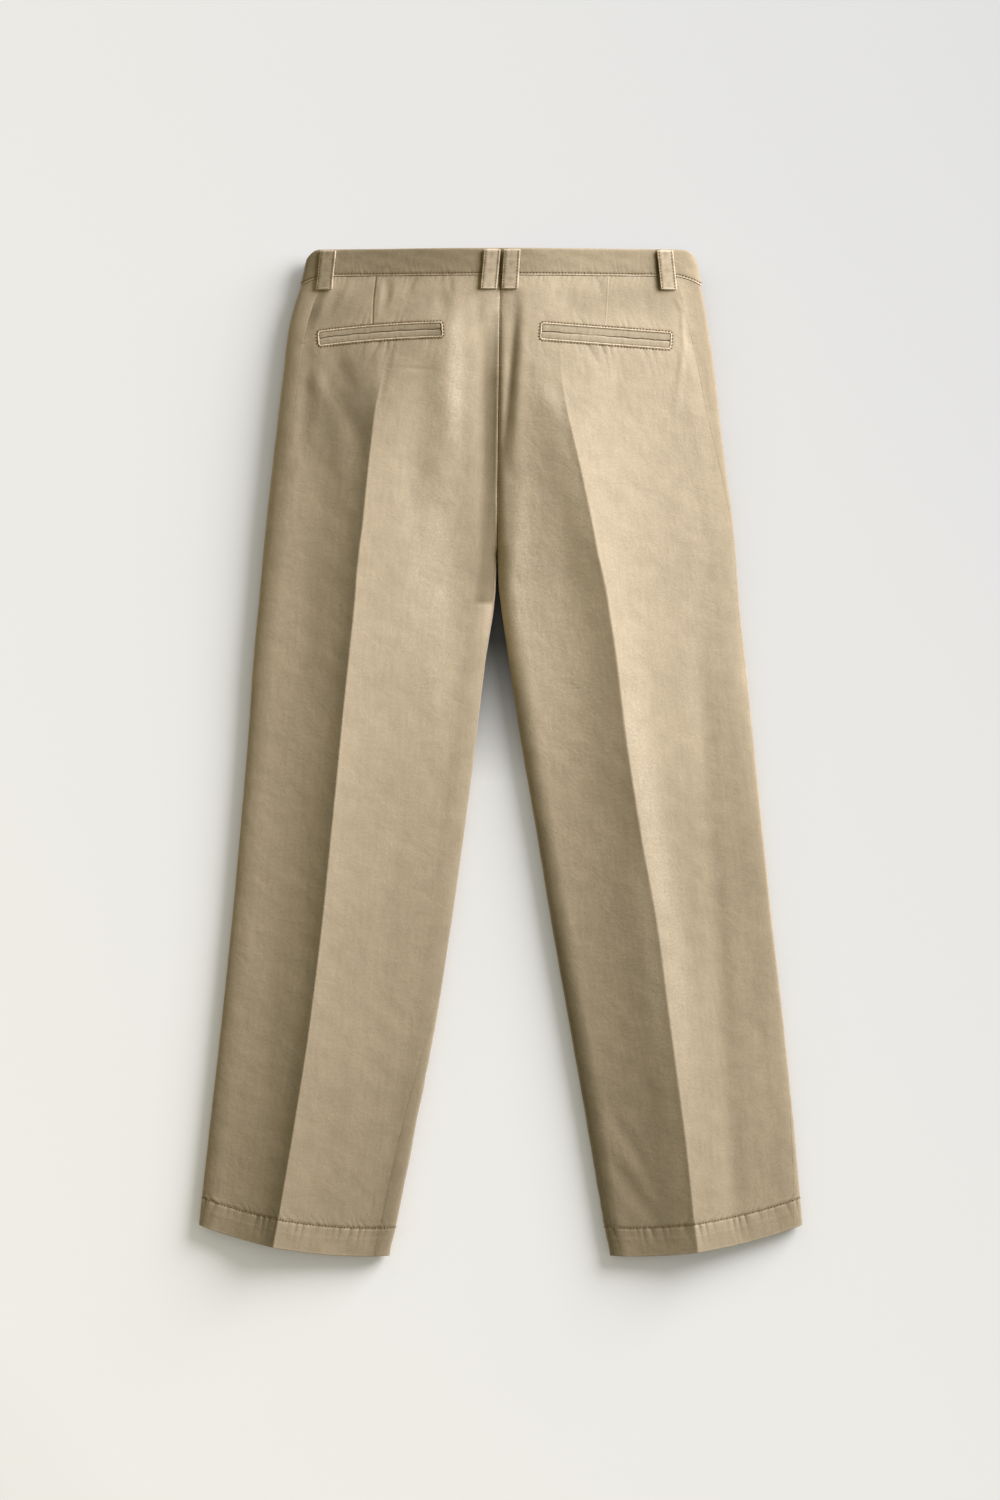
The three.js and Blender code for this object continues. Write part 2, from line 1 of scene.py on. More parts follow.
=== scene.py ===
# Chino trousers laid out with the back uppermost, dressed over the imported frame.
# X runs across the hips, Y towards the waist, Z up. Lengths are millimetres until meshPiece makes metres.
import math
import bpy
import numpy as np
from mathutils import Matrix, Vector


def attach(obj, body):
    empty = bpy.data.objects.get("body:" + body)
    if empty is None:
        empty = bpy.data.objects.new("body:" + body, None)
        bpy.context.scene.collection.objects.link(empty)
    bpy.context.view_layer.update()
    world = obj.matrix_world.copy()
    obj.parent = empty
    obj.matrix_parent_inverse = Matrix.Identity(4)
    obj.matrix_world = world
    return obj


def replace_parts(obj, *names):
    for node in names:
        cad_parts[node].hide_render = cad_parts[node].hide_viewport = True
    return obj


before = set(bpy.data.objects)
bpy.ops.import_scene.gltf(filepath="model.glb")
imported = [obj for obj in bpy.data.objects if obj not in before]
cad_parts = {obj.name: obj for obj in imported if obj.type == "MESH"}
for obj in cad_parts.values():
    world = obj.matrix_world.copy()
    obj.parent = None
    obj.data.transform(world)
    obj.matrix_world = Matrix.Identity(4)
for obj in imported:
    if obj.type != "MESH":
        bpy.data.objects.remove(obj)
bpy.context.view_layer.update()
print("frame loaded:", len(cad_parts), "nodes")

metre = 1000
sides = ("Left", "Right")

form = {
    "waistAhead": 519.1,  # origin to the top edge of the back waistband
    "seamGap": 0.3,
    "closeGap": 0.08,  # where a seam is pressed flat and shows no line
    "clothWall": 1.2,
    "bandWall": 2.4,
    "bandProud": 0.7,
    "bandDown": 28,  # depth of the waistband seen from above
    "tabAcross": 17,
    "crotchDown": 312,
    "hemDown": 1022,
    "hemDepth": 29,
    "hemWall": 0.9,
    "sideDrop": 9,  # the waist falls this much by the side
    "cornerRound": 13,
    "seamRound": 32,
    "frontDrop": 33,  # and this much by the middle of the front
    "frontLevel": 30,
    "floorRoll": 15,
    "loopGaps": (-0.5, 161.3),
    "creaseSharpness": 2.4,
}

outlineColumns = ["down", "outLeft", "inLeft", "creaseLeft", "outRight", "inRight", "creaseRight"]
outlineRows = [
    [0, -200, -0.6, 0.47, 201, -0.6, 0.71],
    [10, -202, -0.6, 0.47, 203.5, -0.6, 0.71],
    [28, -206, -0.8, 0.47, 206.6, -0.8, 0.71],
    [55, -214.6, -1.2, 0.47, 211.5, -1.2, 0.71],
    [85, -220.5, -1.6, 0.47, 215.9, -1.6, 0.71],
    [120, -224.2, -2.0, 0.469, 220.9, -2.0, 0.715],
    [165, -229.5, -2.6, 0.444, 225.6, -2.6, 0.69],
    [220, -235.5, -3.2, 0.431, 231.9, -3.2, 0.642],
    [285, -242.6, -3.8, 0.421, 240, -3.8, 0.596],
    [312, -245.2, -4.2, 0.413, 242.4, -3.6, 0.58],
    [345, -248.1, -4.6, 0.408, 245, -2.6, 0.556],
    [365, -249.9, -6.2, 0.409, 246.4, -0.4, 0.549],
    [420, -255.1, -14.7, 0.412, 252.3, 7.5, 0.544],
    [500, -260.6, -24.6, 0.408, 260.6, 19.3, 0.546],
    [600, -269, -37.2, 0.409, 270.6, 36.4, 0.539],
    [700, -278.3, -51.4, 0.413, 280.9, 52.9, 0.52],
    [800, -288.6, -67.1, 0.413, 292.2, 70.6, 0.527],
    [900, -300, -86.4, 0.408, 302.2, 88.3, 0.53],
    [1006, -311.6, -107.4, 0.395, 311.6, 106.2, 0.542],
    [1040, -315, -114.2, 0.389, 314.8, 112, 0.546],
]

# heights of the outer edge, the cloth beside each edge, the crease and the rolls
heightColumns = ["down", "edge", "outer", "inner", "middle", "crease", "fallOut", "fallIn", "under", "lift"]
heightRows = [
    [0, 13, 24.5, 52, 49.5, 0, 44, 40, 3.6, 3.6],
    [10, 13, 23.6, 50.2, 47.6, 0, 44, 40, 3.6, 3.6],
    [28, 13.5, 22.6, 48, 45.2, 0, 44, 42, 3.6, 3.6],
    [45, 13.5, 23.5, 49, 45, 0, 43, 44, 3.6, 3.6],
    [85, 13.5, 26, 50, 44, 0.4, 40, 44, 0, 0],
    [120, 13.5, 27, 48.5, 42, 2.4, 36, 40, 0, 0],
    [165, 13, 27, 44, 37.5, 8.8, 32, 36, 0, 0],
    [220, 12.5, 26, 37, 30.5, 14.5, 28, 30, 0, 0],
    [285, 12, 25, 30.5, 19, 17, 26, 24, 4, 0],
    [305, 12, 24.4, 28.8, 15, 17.3, 25.3, 21, 9, 0],
    [312, 12, 24.2, 28.2, 11, 17.4, 25, 20, 11, 0],
    [345, 12, 23, 25.5, 11, 18, 24, 18, 11, 0],
    [420, 11.5, 21.5, 22.5, 11, 19, 23, 20, 11, 0],
    [500, 11, 20, 21, 10.5, 19, 22, 20, 10.5, 0],
    [600, 10.5, 18.5, 19.5, 10, 18, 22, 20, 10, 0],
    [700, 10, 17.5, 18.5, 9.5, 17, 22, 20, 9.5, 0],
    [800, 9.5, 17, 17.5, 9, 16.5, 21, 19, 9, 0],
    [900, 9, 16.5, 17, 8.5, 16, 20, 18, 8.5, 0],
    [1006, 8.5, 16, 16.5, 8, 15, 18, 17, 8, 0],
    [1040, 8.5, 16, 16.5, 8, 15, 18, 17, 8, 0],
]

# where the seams run over the top, and how the sections tilt, bow and fall
seamColumns = ["down", "sideLeft", "sideRight", "insideLeft", "insideRight", "tilt", "bow", "fall", "closing", "fly"]
seamRows = [
    [0, 26, 27, 0, 0, 0, 0, 1, 0, 8],
    [28, 25, 26, 0, 0, 0, 0, 1, 0, 8],
    [45, 23, 25, 0, 0, 0, 0, 0.95, 0, 8],
    [85, 19, 21, 0, 0, 0, 0, 0.8, 0, 8],
    [165, 15, 14, 0, 0, 0, 0, 0.45, 0, 8],
    [220, 10, 7, 0, 0, 0, 0, 0.2, 0.1, 8],
    [255, 6, 4, 0, 0, 0, 0, 0.05, 0.5, 3],
    [285, 3, 2.5, 0, 0, 0.5, 0, 0, 0.8, 0],
    [305, 2, 2, 0, 0, 1, 0, 0, 0.95, 0],
    [312, 2, 2, 0.6, 0.6, 1.5, 0.2, 0, 1, 0],
    [345, 2, 2, 2, 2, 3, 0.6, 0, 1, 0],
    [500, 2, 2, 2, 2, 9, 2, 0, 1, 0],
    [740, 2, 2, 2, 2, 19, 5.5, 0, 1, 0],
    [860, 2, 2, 13, 2, 24, 8, 0, 1, 0],
    [960, 2, 5, 17, 5, 29, 9.5, 0, 1, 0],
    [1022, 2, 9, 17, 11, 31.5, 10.3, 0, 1, 0],
    [1040, 2, 9, 17, 11, 32, 10.3, 0, 1, 0],
]

# folds seen from above: x1, down1, x2, down2, width, height (a trough is negative)
mainFolds = [
    [-10, 80, -10, 352, 10, -3.4],  # dip left of the back seam
    [23, 50, 13, 224, 8, 1.5],  # hangs from the right middle loop
    [14.5, 50, 4.5, 224, 5.5, -1],
    [-50, 45, -56, 250, 14, 2.6],  # hangs from the left middle loop
    [-190, 50, -206, 205, 8, -1.6],  # along the left side seam
    [-196, 125, -171, 168, 10, 1.4],  # below the left pocket
    [-168, 172, -160, 262, 13, 1.2],
    [-176, 138, -142, 205, 11, -1.1],
    [31, 106, 52, 170, 12, 0.7],  # below the right pocket
    [62, 118, 70, 185, 11, -0.9],
    [-73, 150, -58, 215, 13, -0.9],
    [118, 905, 150, 970, 13, 1],  # across the right leg towards its hem
    [118, 945, 158, 1000, 9, -1.1],
]
smallFolds = [
    [1.5, 70, 0.5, 300, 6.5, 2.0],  # the back seam stands up beside its dip
    [-17.5, 80, -16, 345, 6, -1.5],
    [18, 66, 3.5, 215, 5.5, -1.0],
    [-64, 70, -68, 250, 11, 0.8],
    [-173, 31, -192, 78, 5, 0.9],  # left hip, from the side loop down past the pocket
    [-192, 78, -195, 116, 6, 1.0],
    [-171, 105, -153, 148, 9, -1.3],
    [-115, 102, -125, 155, 5, -0.9],
    [-116, 122, -69, 125, 2.5, -0.35],  # pressed mark of the pocket bag
    [-152, 31, -172, 58, 7, 0.8],  # between the left side loop and the dart
    [-162, 40, -176, 65, 4, -0.6],
    [-123.5, 37, -126.6, 68, 3, 0.5],
    [-117, 31, -117, 53, 4.5, -0.7],
    [-105, 29, -114, 58, 4, 0.5],
    [-88.7, 29, -96.7, 46, 4, -0.7],
    [-60.6, 31, -57.5, 72, 8, -0.9],
    [-52, 29, -52, 44, 3.5, -0.6],
    [-22.4, 46, -24, 100, 6, -0.8],
    [99.5, 30, 102.6, 44, 4, -0.7],  # right hip
    [62, 30, 55, 52, 5, -0.5],
    [81, 32, 76, 60, 5, 0.5],
    [140, 31, 150, 62, 7, -0.5],
    [36.4, 127, 64.7, 153, 9, -0.6],
    [96, 116, 92, 150, 8, 0.7],
    [122, 112, 118, 160, 9, -0.7],
    [179.6, 49, 186.5, 61.5, 3, 0.6],
    [186.5, 61.5, 188.5, 100, 3, 0.8],
    [188.5, 100, 184.5, 133, 3.5, 0.7],
    [184.5, 133, 180.8, 166, 4, 0.5],
    [188, 82.5, 199, 102, 5, -0.7],
    [199, 102, 210, 146, 5, -0.8],
    [210, 146, 222, 190, 6, -0.7],
    [-226, 190, -232, 245, 6, -0.6],
    [-84, 120, -90, 250, 13, -1.2],
    [-96, 210, -84, 330, 14, -0.8],  # soft hollows and swells down the legs
    [-196, 300, -204, 470, 16, -0.9],
    [-64, 330, -72, 520, 14, 0.8],
    [-178, 520, -190, 700, 18, 0.8],
    [-110, 610, -128, 800, 16, -0.7],
    [-232, 700, -246, 900, 14, -0.8],
    [-150, 820, -168, 960, 15, 0.7],
    [203, 340, 216, 620, 13, -1.6],  # valley before the right leg's outer edge
    [217, 620, 233, 880, 13, -2.3],
    [233, 880, 243, 1012, 12, -2.3],
    [60, 250, 72, 400, 14, -0.8],
    [96, 420, 112, 560, 15, 0.8],
    [196, 300, 212, 450, 15, 0.9],
    [112, 887, 161, 974, 8, -1.1],
    [158, 640, 172, 800, 15, -0.7],
    [262, 830, 276, 960, 13, 0.7],
]


def mix(a, b, t):
    return a + (b - a) * t


def smooth(t):
    t = np.clip(t, 0, 1)
    return t * t * (3 - 2 * t)


def bell(t):
    return np.exp(-t * t)


# fall from 1 to 0, like a quarter of an ellipse or like a parabola
def roundFall(t):
    return 1 - np.sqrt(1 - (1 - np.clip(t, 0, 1)) ** 2)


def softFall(t):
    return (1 - np.clip(t, 0, 1)) ** 2


# values of a table down the trousers, on smooth curves through its rows
def tableReader(columns, rows):
    table = np.array(rows, float)
    at = table[:, 0]
    steep = np.diff(table, axis=0) / np.diff(at)[:, None]
    product = steep[:-1] * steep[1:]
    slopes = np.zeros_like(table)
    slopes[1:-1] = np.where(product > 0, 2 * product / np.where(product > 0, steep[:-1] + steep[1:], 1), 0)

    def valuesAt(down):
        d = np.clip(down, at[0], at[-1])
        i = np.clip(np.searchsorted(at, d) - 1, 0, len(at) - 2)
        step = at[i + 1] - at[i]
        t = (d - at[i]) / step
        values = {}
        for c, name in enumerate(columns):
            bend = (1 - t) * slopes[i, c] - t * slopes[i + 1, c]
            values[name] = mix(table[i, c], table[i + 1, c], smooth(t)) + t * (1 - t) * step * bend
        return values

    return valuesAt


outlineAt = tableReader(outlineColumns, outlineRows)
heightsAt = tableReader(heightColumns, heightRows)
seamsAt = tableReader(seamColumns, seamRows)


# one leg's section, or half the seat's above the crotch
def sectionAt(side, down):
    down = np.asarray(down, float)
    section = {**heightsAt(down), **seamsAt(down)}
    section["out"] = outlineAt(down - section["tilt"] / 2)["out" + side]
    section["inn"] = outlineAt(down + section["tilt"] / 2)["in" + side]
    section["width"] = np.abs(section["inn"] - section["out"])
    section["creaseAt"] = outlineAt(down)["crease" + side]
    section["sideSeam"] = section["side" + side]
    section["inseam"] = section["inside" + side]
    section["open"] = down < form["crotchDown"]
    section["down"] = down
    return section


def foldHeight(x, down):
    total = np.zeros(np.broadcast(x, down).shape)
    for x1, down1, x2, down2, width, height in mainFolds + smallFolds:
        dx, dy = x2 - x1, down2 - down1
        along = np.clip(((x - x1) * dx + (down - down1) * dy) / (dx * dx + dy * dy), 0, 1)
        away = np.hypot(x - x1 - along * dx, down - down1 - along * dy)
        total += height * np.sqrt(np.sin(np.pi * mix(0.06, 0.94, along))) * bell(away / width)
    return total


def topHeight(section, inwards, x, down):
    share = inwards / section["width"]
    crease = section["creaseAt"]
    flank = np.where(share < crease, 1 - share / crease, (share - crease) / (1 - crease))
    rise = section["crease"] * (1 - np.clip(flank, 0, 1)) ** form["creaseSharpness"]
    outRoll = roundFall(inwards / section["fallOut"])
    near = (section["width"] - inwards) / section["fallIn"]
    inRoll = mix(softFall(near), roundFall(near), section["closing"])
    cloth = mix(section["outer"], section["inner"], smooth(share))
    edges = (section["outer"] - section["edge"]) * outRoll + (section["inner"] - section["middle"]) * inRoll
    return cloth + rise - edges + foldHeight(x, down) * (1 - outRoll) * (1 - section["closing"] * inRoll)


def underHeight(section, inwards):
    outside = (section["edge"] - section["lift"]) * roundFall(inwards / form["floorRoll"])
    inside = (section["under"] - section["lift"]) * roundFall((section["width"] - inwards) / form["floorRoll"])
    return section["lift"] + outside + inside


# around is measured in from the outer edge, over the top where positive and underneath where negative
def ringPoint(section, around):
    width = section["width"]
    place = around + 0 * width
    place = np.where(~section["open"] & (place > width), place - 2 * width, place)
    place = np.where(~section["open"] & (place < -width), place + 2 * width, place)
    top = place >= 0
    inwards = np.abs(place)
    share = inwards / width
    x = mix(section["out"], section["inn"], share)
    reach = mix(form["cornerRound"], form["seamRound"], smooth(section["down"] / form["bandDown"]))
    sideFall = form["sideDrop"] * softFall(inwards / reach)
    frontFall = mix(form["sideDrop"], form["frontDrop"], smooth(inwards / (width - form["frontLevel"])))
    bow = section["bow"] * 4 * share * (1 - share) * np.where(top, 1, 0.5)
    down = section["down"] + section["tilt"] * (share - 0.5) + bow
    down = down + section["fall"] * np.where(top, sideFall, frontFall)
    z = np.where(top, topHeight(section, inwards, x, down), underHeight(section, inwards))
    return np.stack(np.broadcast_arrays(x, form["waistAhead"] - down, z), axis=-1)


def unit(vectors):
    return vectors / np.maximum(np.linalg.norm(vectors, axis=-1, keepdims=True), 1e-9)


def ringNormal(side, down, around):
    nudge = 0.8
    section = sectionAt(side, down)
    nextAround = np.where(
        section["open"] & (around > 0), np.minimum(around + nudge, section["width"]), around + nudge
    )
    across = ringPoint(section, nextAround) - ringPoint(section, around - nudge)
    before = sectionAt(side, np.maximum(down - 2, 0))
    after = sectionAt(side, down + 2)
    along = ringPoint(after, around * after["width"] / section["width"])
    along = along - ringPoint(before, around * before["width"] / section["width"])
    return unit(np.cross(along, across)) * (1 if side == "Left" else -1)


def surfaceAt(side, down, around, proud=0.0):
    point = ringPoint(sectionAt(side, down), around)
    return point + ringNormal(side, down, around) * np.asarray(proud)[..., None]


# down and around of the place on the back that shows at x and down in the view from above
def placeOf(side, x, showsDown):
    down = showsDown + 0 * x
    around = 0 * down
    for _ in range(8):
        section = sectionAt(side, down)
        around = (x - section["out"]) / (section["inn"] - section["out"]) * section["width"]
        down = down + showsDown - (form["waistAhead"] - ringPoint(section, around)[..., 1])
    return down, around


# uneven ripples that hang off a line of stitches: narrow troughs between rounded crests
def ripples(along, away, pitch, slant, reach, turn):
    wander = 0.3 * np.sin(2 * np.pi * along / (pitch * 3.7) + 1.7 * turn)
    wander = wander + 0.2 * np.sin(2 * np.pi * along / (pitch * 8.3) + 2.9 * turn)
    strength = 0.62 + 0.38 * np.sin(2 * np.pi * along / (pitch * 5.3) + 2.3 * turn)
    wave = np.abs(np.sin(np.pi * ((along + slant * away) / pitch + wander + turn))) ** 0.75 - 0.6
    return np.where(away >= 0, strength * wave * np.exp(-np.maximum(away, 0) / reach), 0)


# broad uneven lie of washed cotton
def washedLie(x, y):
    total = 0
    for length, angle, turn in ((61, 0.3, 0.4), (43, 1.25, 2.1), (29, 2.2, 4.4), (83, 2.8, 5.3), (19, 0.8, 1.1)):
        total = total + np.sin(2 * np.pi * (x * math.cos(angle) + y * math.sin(angle)) / length + turn)
    return total / 5


# how far a rounded edge has dropped at a distance from it
def edgeDrop(distance, radius):
    near = np.clip(radius - distance, 0, radius)
    return radius - np.sqrt(radius * radius - near * near)


pockets = {
    "Left": {"x1": -187, "down1": 91.7, "x2": -61, "down2": 83.2, "bow": 1.7, "above": 6.2, "below": 7},
    "Right": {"x1": 42, "down1": 85.6, "x2": 174.5, "down2": 94.6, "bow": 0, "above": 7.8, "below": 7.3},
}
pocketMake = {
    "corner": 1.6,
    "sink": 2.7,  # the panel drops this far under the lips
    "rimOut": 0.75,  # middle of the rolled rim, outside the window
    "rimWide": 0.8,
    "rimHigh": 0.85,
    "stitchOut": 2.3,
    "lipSunk": 0.35,
    "lipWall": 1.1,
    "slit": 0.7,
}


def pocketLength(pocket):
    return math.hypot(pocket["x2"] - pocket["x1"], pocket["down2"] - pocket["down1"])


def pocketBow(pocket, along):
    share = np.clip(along / pocketLength(pocket), 0, 1)
    return pocket["bow"] * 4 * share * (1 - share)


# along the mouth and below it, from a place seen from above, and back
def mouthFrom(pocket, x, down):
    length = pocketLength(pocket)
    dx, dy = (pocket["x2"] - pocket["x1"]) / length, (pocket["down2"] - pocket["down1"]) / length
    along = (x - pocket["x1"]) * dx + (down - pocket["down1"]) * dy
    below = (down - pocket["down1"]) * dx - (x - pocket["x1"]) * dy + pocketBow(pocket, along)
    return along, below


def mouthTo(pocket, along, below):
    length = pocketLength(pocket)
    dx, dy = (pocket["x2"] - pocket["x1"]) / length, (pocket["down2"] - pocket["down1"]) / length
    lowered = below - pocketBow(pocket, along)
    return pocket["x1"] + along * dx - lowered * dy, pocket["down1"] + along * dy + lowered * dx


def windowDistance(pocket, along, below):
    corner = pocketMake["corner"]
    halfLong = pocketLength(pocket) / 2
    halfWide = (pocket["above"] + pocket["below"]) / 2
    middle = (pocket["below"] - pocket["above"]) / 2
    qx = np.abs(along - halfLong) - (halfLong - corner)
    qy = np.abs(below - middle) - (halfWide - corner)
    outside = np.hypot(np.maximum(qx, 0), np.maximum(qy, 0))
    return outside + np.minimum(np.maximum(qx, qy), 0) - corner


# a closed path round the window, some way outside it, as along and below
def windowPath(pocket, outside, step):
    corner = pocketMake["corner"]
    halfLong = pocketLength(pocket) / 2 - corner
    halfWide = (pocket["above"] + pocket["below"]) / 2 - corner
    middle = (pocket["below"] - pocket["above"]) / 2
    radius = corner + outside
    corners = [(1, 1), (-1, 1), (-1, -1), (1, -1)]
    path = []
    for i, (sx, sy) in enumerate(corners):
        start = i * math.pi / 2
        turns = max(int(radius * math.pi / 2 / min(step, 0.6)), 4)
        for k in range(turns + 1):
            angle = start + math.pi / 2 * k / turns
            path.append((sx * halfLong + radius * math.cos(angle), sy * halfWide + radius * math.sin(angle)))
        nx, ny = corners[(i + 1) % 4]
        endAngle = start + math.pi / 2
        begin = np.array(path[-1])
        finish = np.array([nx * halfLong + radius * math.cos(endAngle), ny * halfWide + radius * math.sin(endAngle)])
        count = max(int(np.linalg.norm(finish - begin) / step), 1)
        path += [tuple(mix(begin, finish, k / count)) for k in range(1, count)]
    path = np.array(path)
    return path[:, 0] + halfLong + corner, path[:, 1] + middle


darts = {  # share of the way in from the outer edge, at the waist seam and by the pocket
    "Left": {"top": 0.377, "foot": 0.404, "before": 0.066},
    "Right": {"top": 0.4585, "foot": 0.494, "before": 0.2},
}
panelMake = {
    "columnStep": 1.0,
    "edgeRadius": 0.65,
    "sideRadius": 0.1,
    "seatRadius": 0.35,
    "dartHalf": 0.6,
    "dartDeep": 0.6,
    "seatRow": 1.0,
    "hipRow": 2.5,
    "legRow": 5.0,
    "hemRow": 1.1,
    "allowanceDown": (24.5, 314),
    "allowanceClear": 1.1,
    "allowanceWall": 0.6,
}
edgeSteps = np.array([0, 0.25, 0.55, 1.0])


def evenBetween(a, b, count):
    return mix(a, b, np.linspace(0, 1, count + 1))


def dartShare(side, section):
    dart = darts[side]
    share = mix(dart["top"], dart["foot"], np.clip((section["down"] - form["bandDown"]) / 54, 0, 1))
    return mix(share, section["creaseAt"] - dart["before"], smooth((section["down"] - 95) / 60))


# from the side seam over the dart and the crease to the back seam or the inseam
def backColumns(side, section):
    width = section["width"]
    start = section["sideSeam"] + form["closeGap"] / 2
    sewn = smooth((section["down"] - 36) / 8) * section["open"]  # the back seam closes up below the loops
    end = width - section["inseam"] - mix(form["closeGap"], form["seamGap"], sewn) / 2
    dart = dartShare(side, section) * width
    crease = section["creaseAt"] * width
    half = panelMake["dartHalf"]
    seat = sectionAt(side, 90.0)
    counts = np.array([
        dartShare(side, seat) * seat["width"] - seat["sideSeam"],
        (seat["creaseAt"] - dartShare(side, seat)) * seat["width"],
        (1 - seat["creaseAt"]) * seat["width"],
    ])
    outer, middle, inner = (counts / panelMake["columnStep"]).astype(int)
    inner += (outer + middle + inner) % 2  # an even number of columns altogether
    parts = [
        start + edgeSteps,
        evenBetween(start + 1, dart - half, outer - 4)[:, 1:],
        dart,
        evenBetween(dart + half, crease, middle),
        evenBetween(crease, end - 1, inner - 4)[:, 1:-1],
        end - edgeSteps[::-1],
    ]
    return np.concatenate(parts, axis=1)


def panelRows():
    stages = [
        (form["bandDown"] + form["seamGap"] / 2 + 1, 130, panelMake["seatRow"]),
        (130, 330, panelMake["hipRow"]),
        (330, 984, panelMake["legRow"]),
        (984, form["hemDown"] - 1, panelMake["hemRow"]),
    ]
    rows = [form["bandDown"] + form["seamGap"] / 2 + edgeSteps[:-1]]
    for begin, end, step in stages:
        rows.append(np.linspace(begin, end, int((end - begin) / step) + 1)[:-1])
    rows.append(form["hemDown"] - edgeSteps[::-1])
    rows = np.concatenate(rows)
    if len(rows) % 2 == 0:
        rows = np.sort(np.append(rows, 131.2))
    return rows


# small relief that the making leaves in the cloth: height along the normal, wear with painted highlights, and painted
# shade
def makingRelief(side, section, around, points):
    down = section["down"]
    x = points[..., 0]
    shows = form["waistAhead"] - points[..., 1]
    height = 0.3 * washedLie(x, shows)
    waist = ripples(x, down - form["bandDown"], 6.4, 0.3, 7, 0.31) * (around > -30)
    stitchLine = form["hemDown"] - form["hemDepth"]
    aboveHem = ripples(around, stitchLine - down, 7.1, 0.7, 6, 0.12)
    inHem = ripples(around, down - stitchLine, 9.1, 0.15, 9, 0.12)
    stitched = bell((down - stitchLine) / 1.3)
    pressed = bell((down - stitchLine - 12) / 1.6)
    height = height + 0.42 * waist + 0.55 * aboveHem + 1.5 * inHem - 0.4 * stitched + 0.12 * pressed
    # pucker crests get paler with wear and painted highlight, troughs and the stitch groove get painted shade, here
    # and along the seams below
    wearAndHighlight = 0.45 * np.clip(waist, 0, 1) + 1.0 * np.clip(inHem, 0, 1) + 0.8 * np.clip(aboveHem, 0, 1)
    wearAndHighlight = wearAndHighlight + 0.5 * bell((down - stitchLine - 1.8) / 0.9)
    wearAndHighlight = wearAndHighlight + 0.08 * pressed
    paintedShade = 0.6 * np.clip(-waist, 0, 1) + 0.6 * np.clip(-aboveHem, 0, 1) + 1.1 * np.clip(-inHem, 0, 1)
    paintedShade = paintedShade + 0.5 * stitched
    alongSeam = ripples(down, np.abs(around - section["sideSeam"]), 9.3, 0.2, 4.5, 0.77)
    inner = np.abs(around) - section["width"] + section["inseam"]
    alongInner = ripples(down, np.abs(inner), 8.1, -0.3, 4.5, 0.41)
    height = height + 0.22 * (alongSeam + alongInner)
    wearAndHighlight = wearAndHighlight + 0.25 * np.clip(alongSeam + alongInner, 0, 1)
    paintedShade = paintedShade + 0.15 * np.clip(-alongSeam, 0, 1) + 0.35 * np.clip(-alongInner, 0, 1)
    paintedShade = paintedShade + 0.3 * smooth((down - 480) / 540)  # painted shade, darker towards the hems, in place of the key light falling off
    fromInner = section["width"] - np.abs(around)
    if side == "Right":
        # painted shade along the right leg's outer edge, which faces the light, and along its inner edge
        paintedShade = paintedShade + 0.7 * (1 - smooth(np.abs(around) / 32)) * (1 - 0.5 * smooth((down - 300) / 200))
        paintedShade = paintedShade + 0.6 * (1 - smooth((fromInner - 4) / 20)) * smooth((down - 400) / 60)
    else:  # painted shadow on the strip along the back seam that runs on into the inseam, and painted shade on the inner edge below it
        into = smooth((down - 250) / 60)
        strip = smooth((fromInner - mix(1.3, 0, into)) / 1.5) * (1 - smooth((fromInner - mix(11, 9, into)) / 17))
        strip = strip * smooth((down - 60) / 80) * (1 - smooth((down - 360) / 4))
        paintedShade = paintedShade + mix(0.95, 1.35, into) * strip
        paintedShade = paintedShade + 0.5 * (1 - smooth(fromInner / 32)) * smooth((down - 364) / 60)
    return height, wearAndHighlight, paintedShade


# painted shadow in the narrow gaps beside the loops
def paintedLoopShadow(x):
    return sum(bell((x - at) / 2.4) for at in form["loopGaps"])


# puckers round a back pocket, and the drop of the panel under its lips, with painted shade in the troughs and the
# stitch groove and paler crests of wear and painted highlight
def pocketRelief(side, x, shows):
    pocket = pockets[side]
    along, below = mouthFrom(pocket, x, shows)
    distance = windowDistance(pocket, along, below)
    way = 1 if side == "Left" else -1
    under = below > pocket["below"]
    over = below < -pocket["above"]
    tight = ripples(along, distance - 1.6, 4.1, 0.8 * way, 4.6, 0.2) * under
    loose = ripples(along, distance - 1.6, 11.0, 0.45 * way, 15, 0.63) * under
    drag = ripples(along, distance - 1.6, 8.2, -0.5 * way, 9, 0.9) * over
    ends = bell((along - pocketLength(pocket) / 2) / (pocketLength(pocket) * 0.62)) ** 2
    height = (0.6 * tight + 0.95 * loose + 0.6 * drag) * ends
    sunk = np.where(distance < 0, -pocketMake["sink"], 0)
    stitched = bell((distance - pocketMake["stitchOut"]) / 0.8)
    wearAndHighlight = 0.4 * np.clip(tight + loose, 0, 1) + 0.3 * np.clip(drag, 0, 1)
    paintedShade = 1.6 * np.clip(-tight, 0, 1) + 0.8 * np.clip(-loose - drag, 0, 1) + 0.9 * stitched
    return height + sunk - 0.3 * stitched, wearAndHighlight * ends, paintedShade * ends


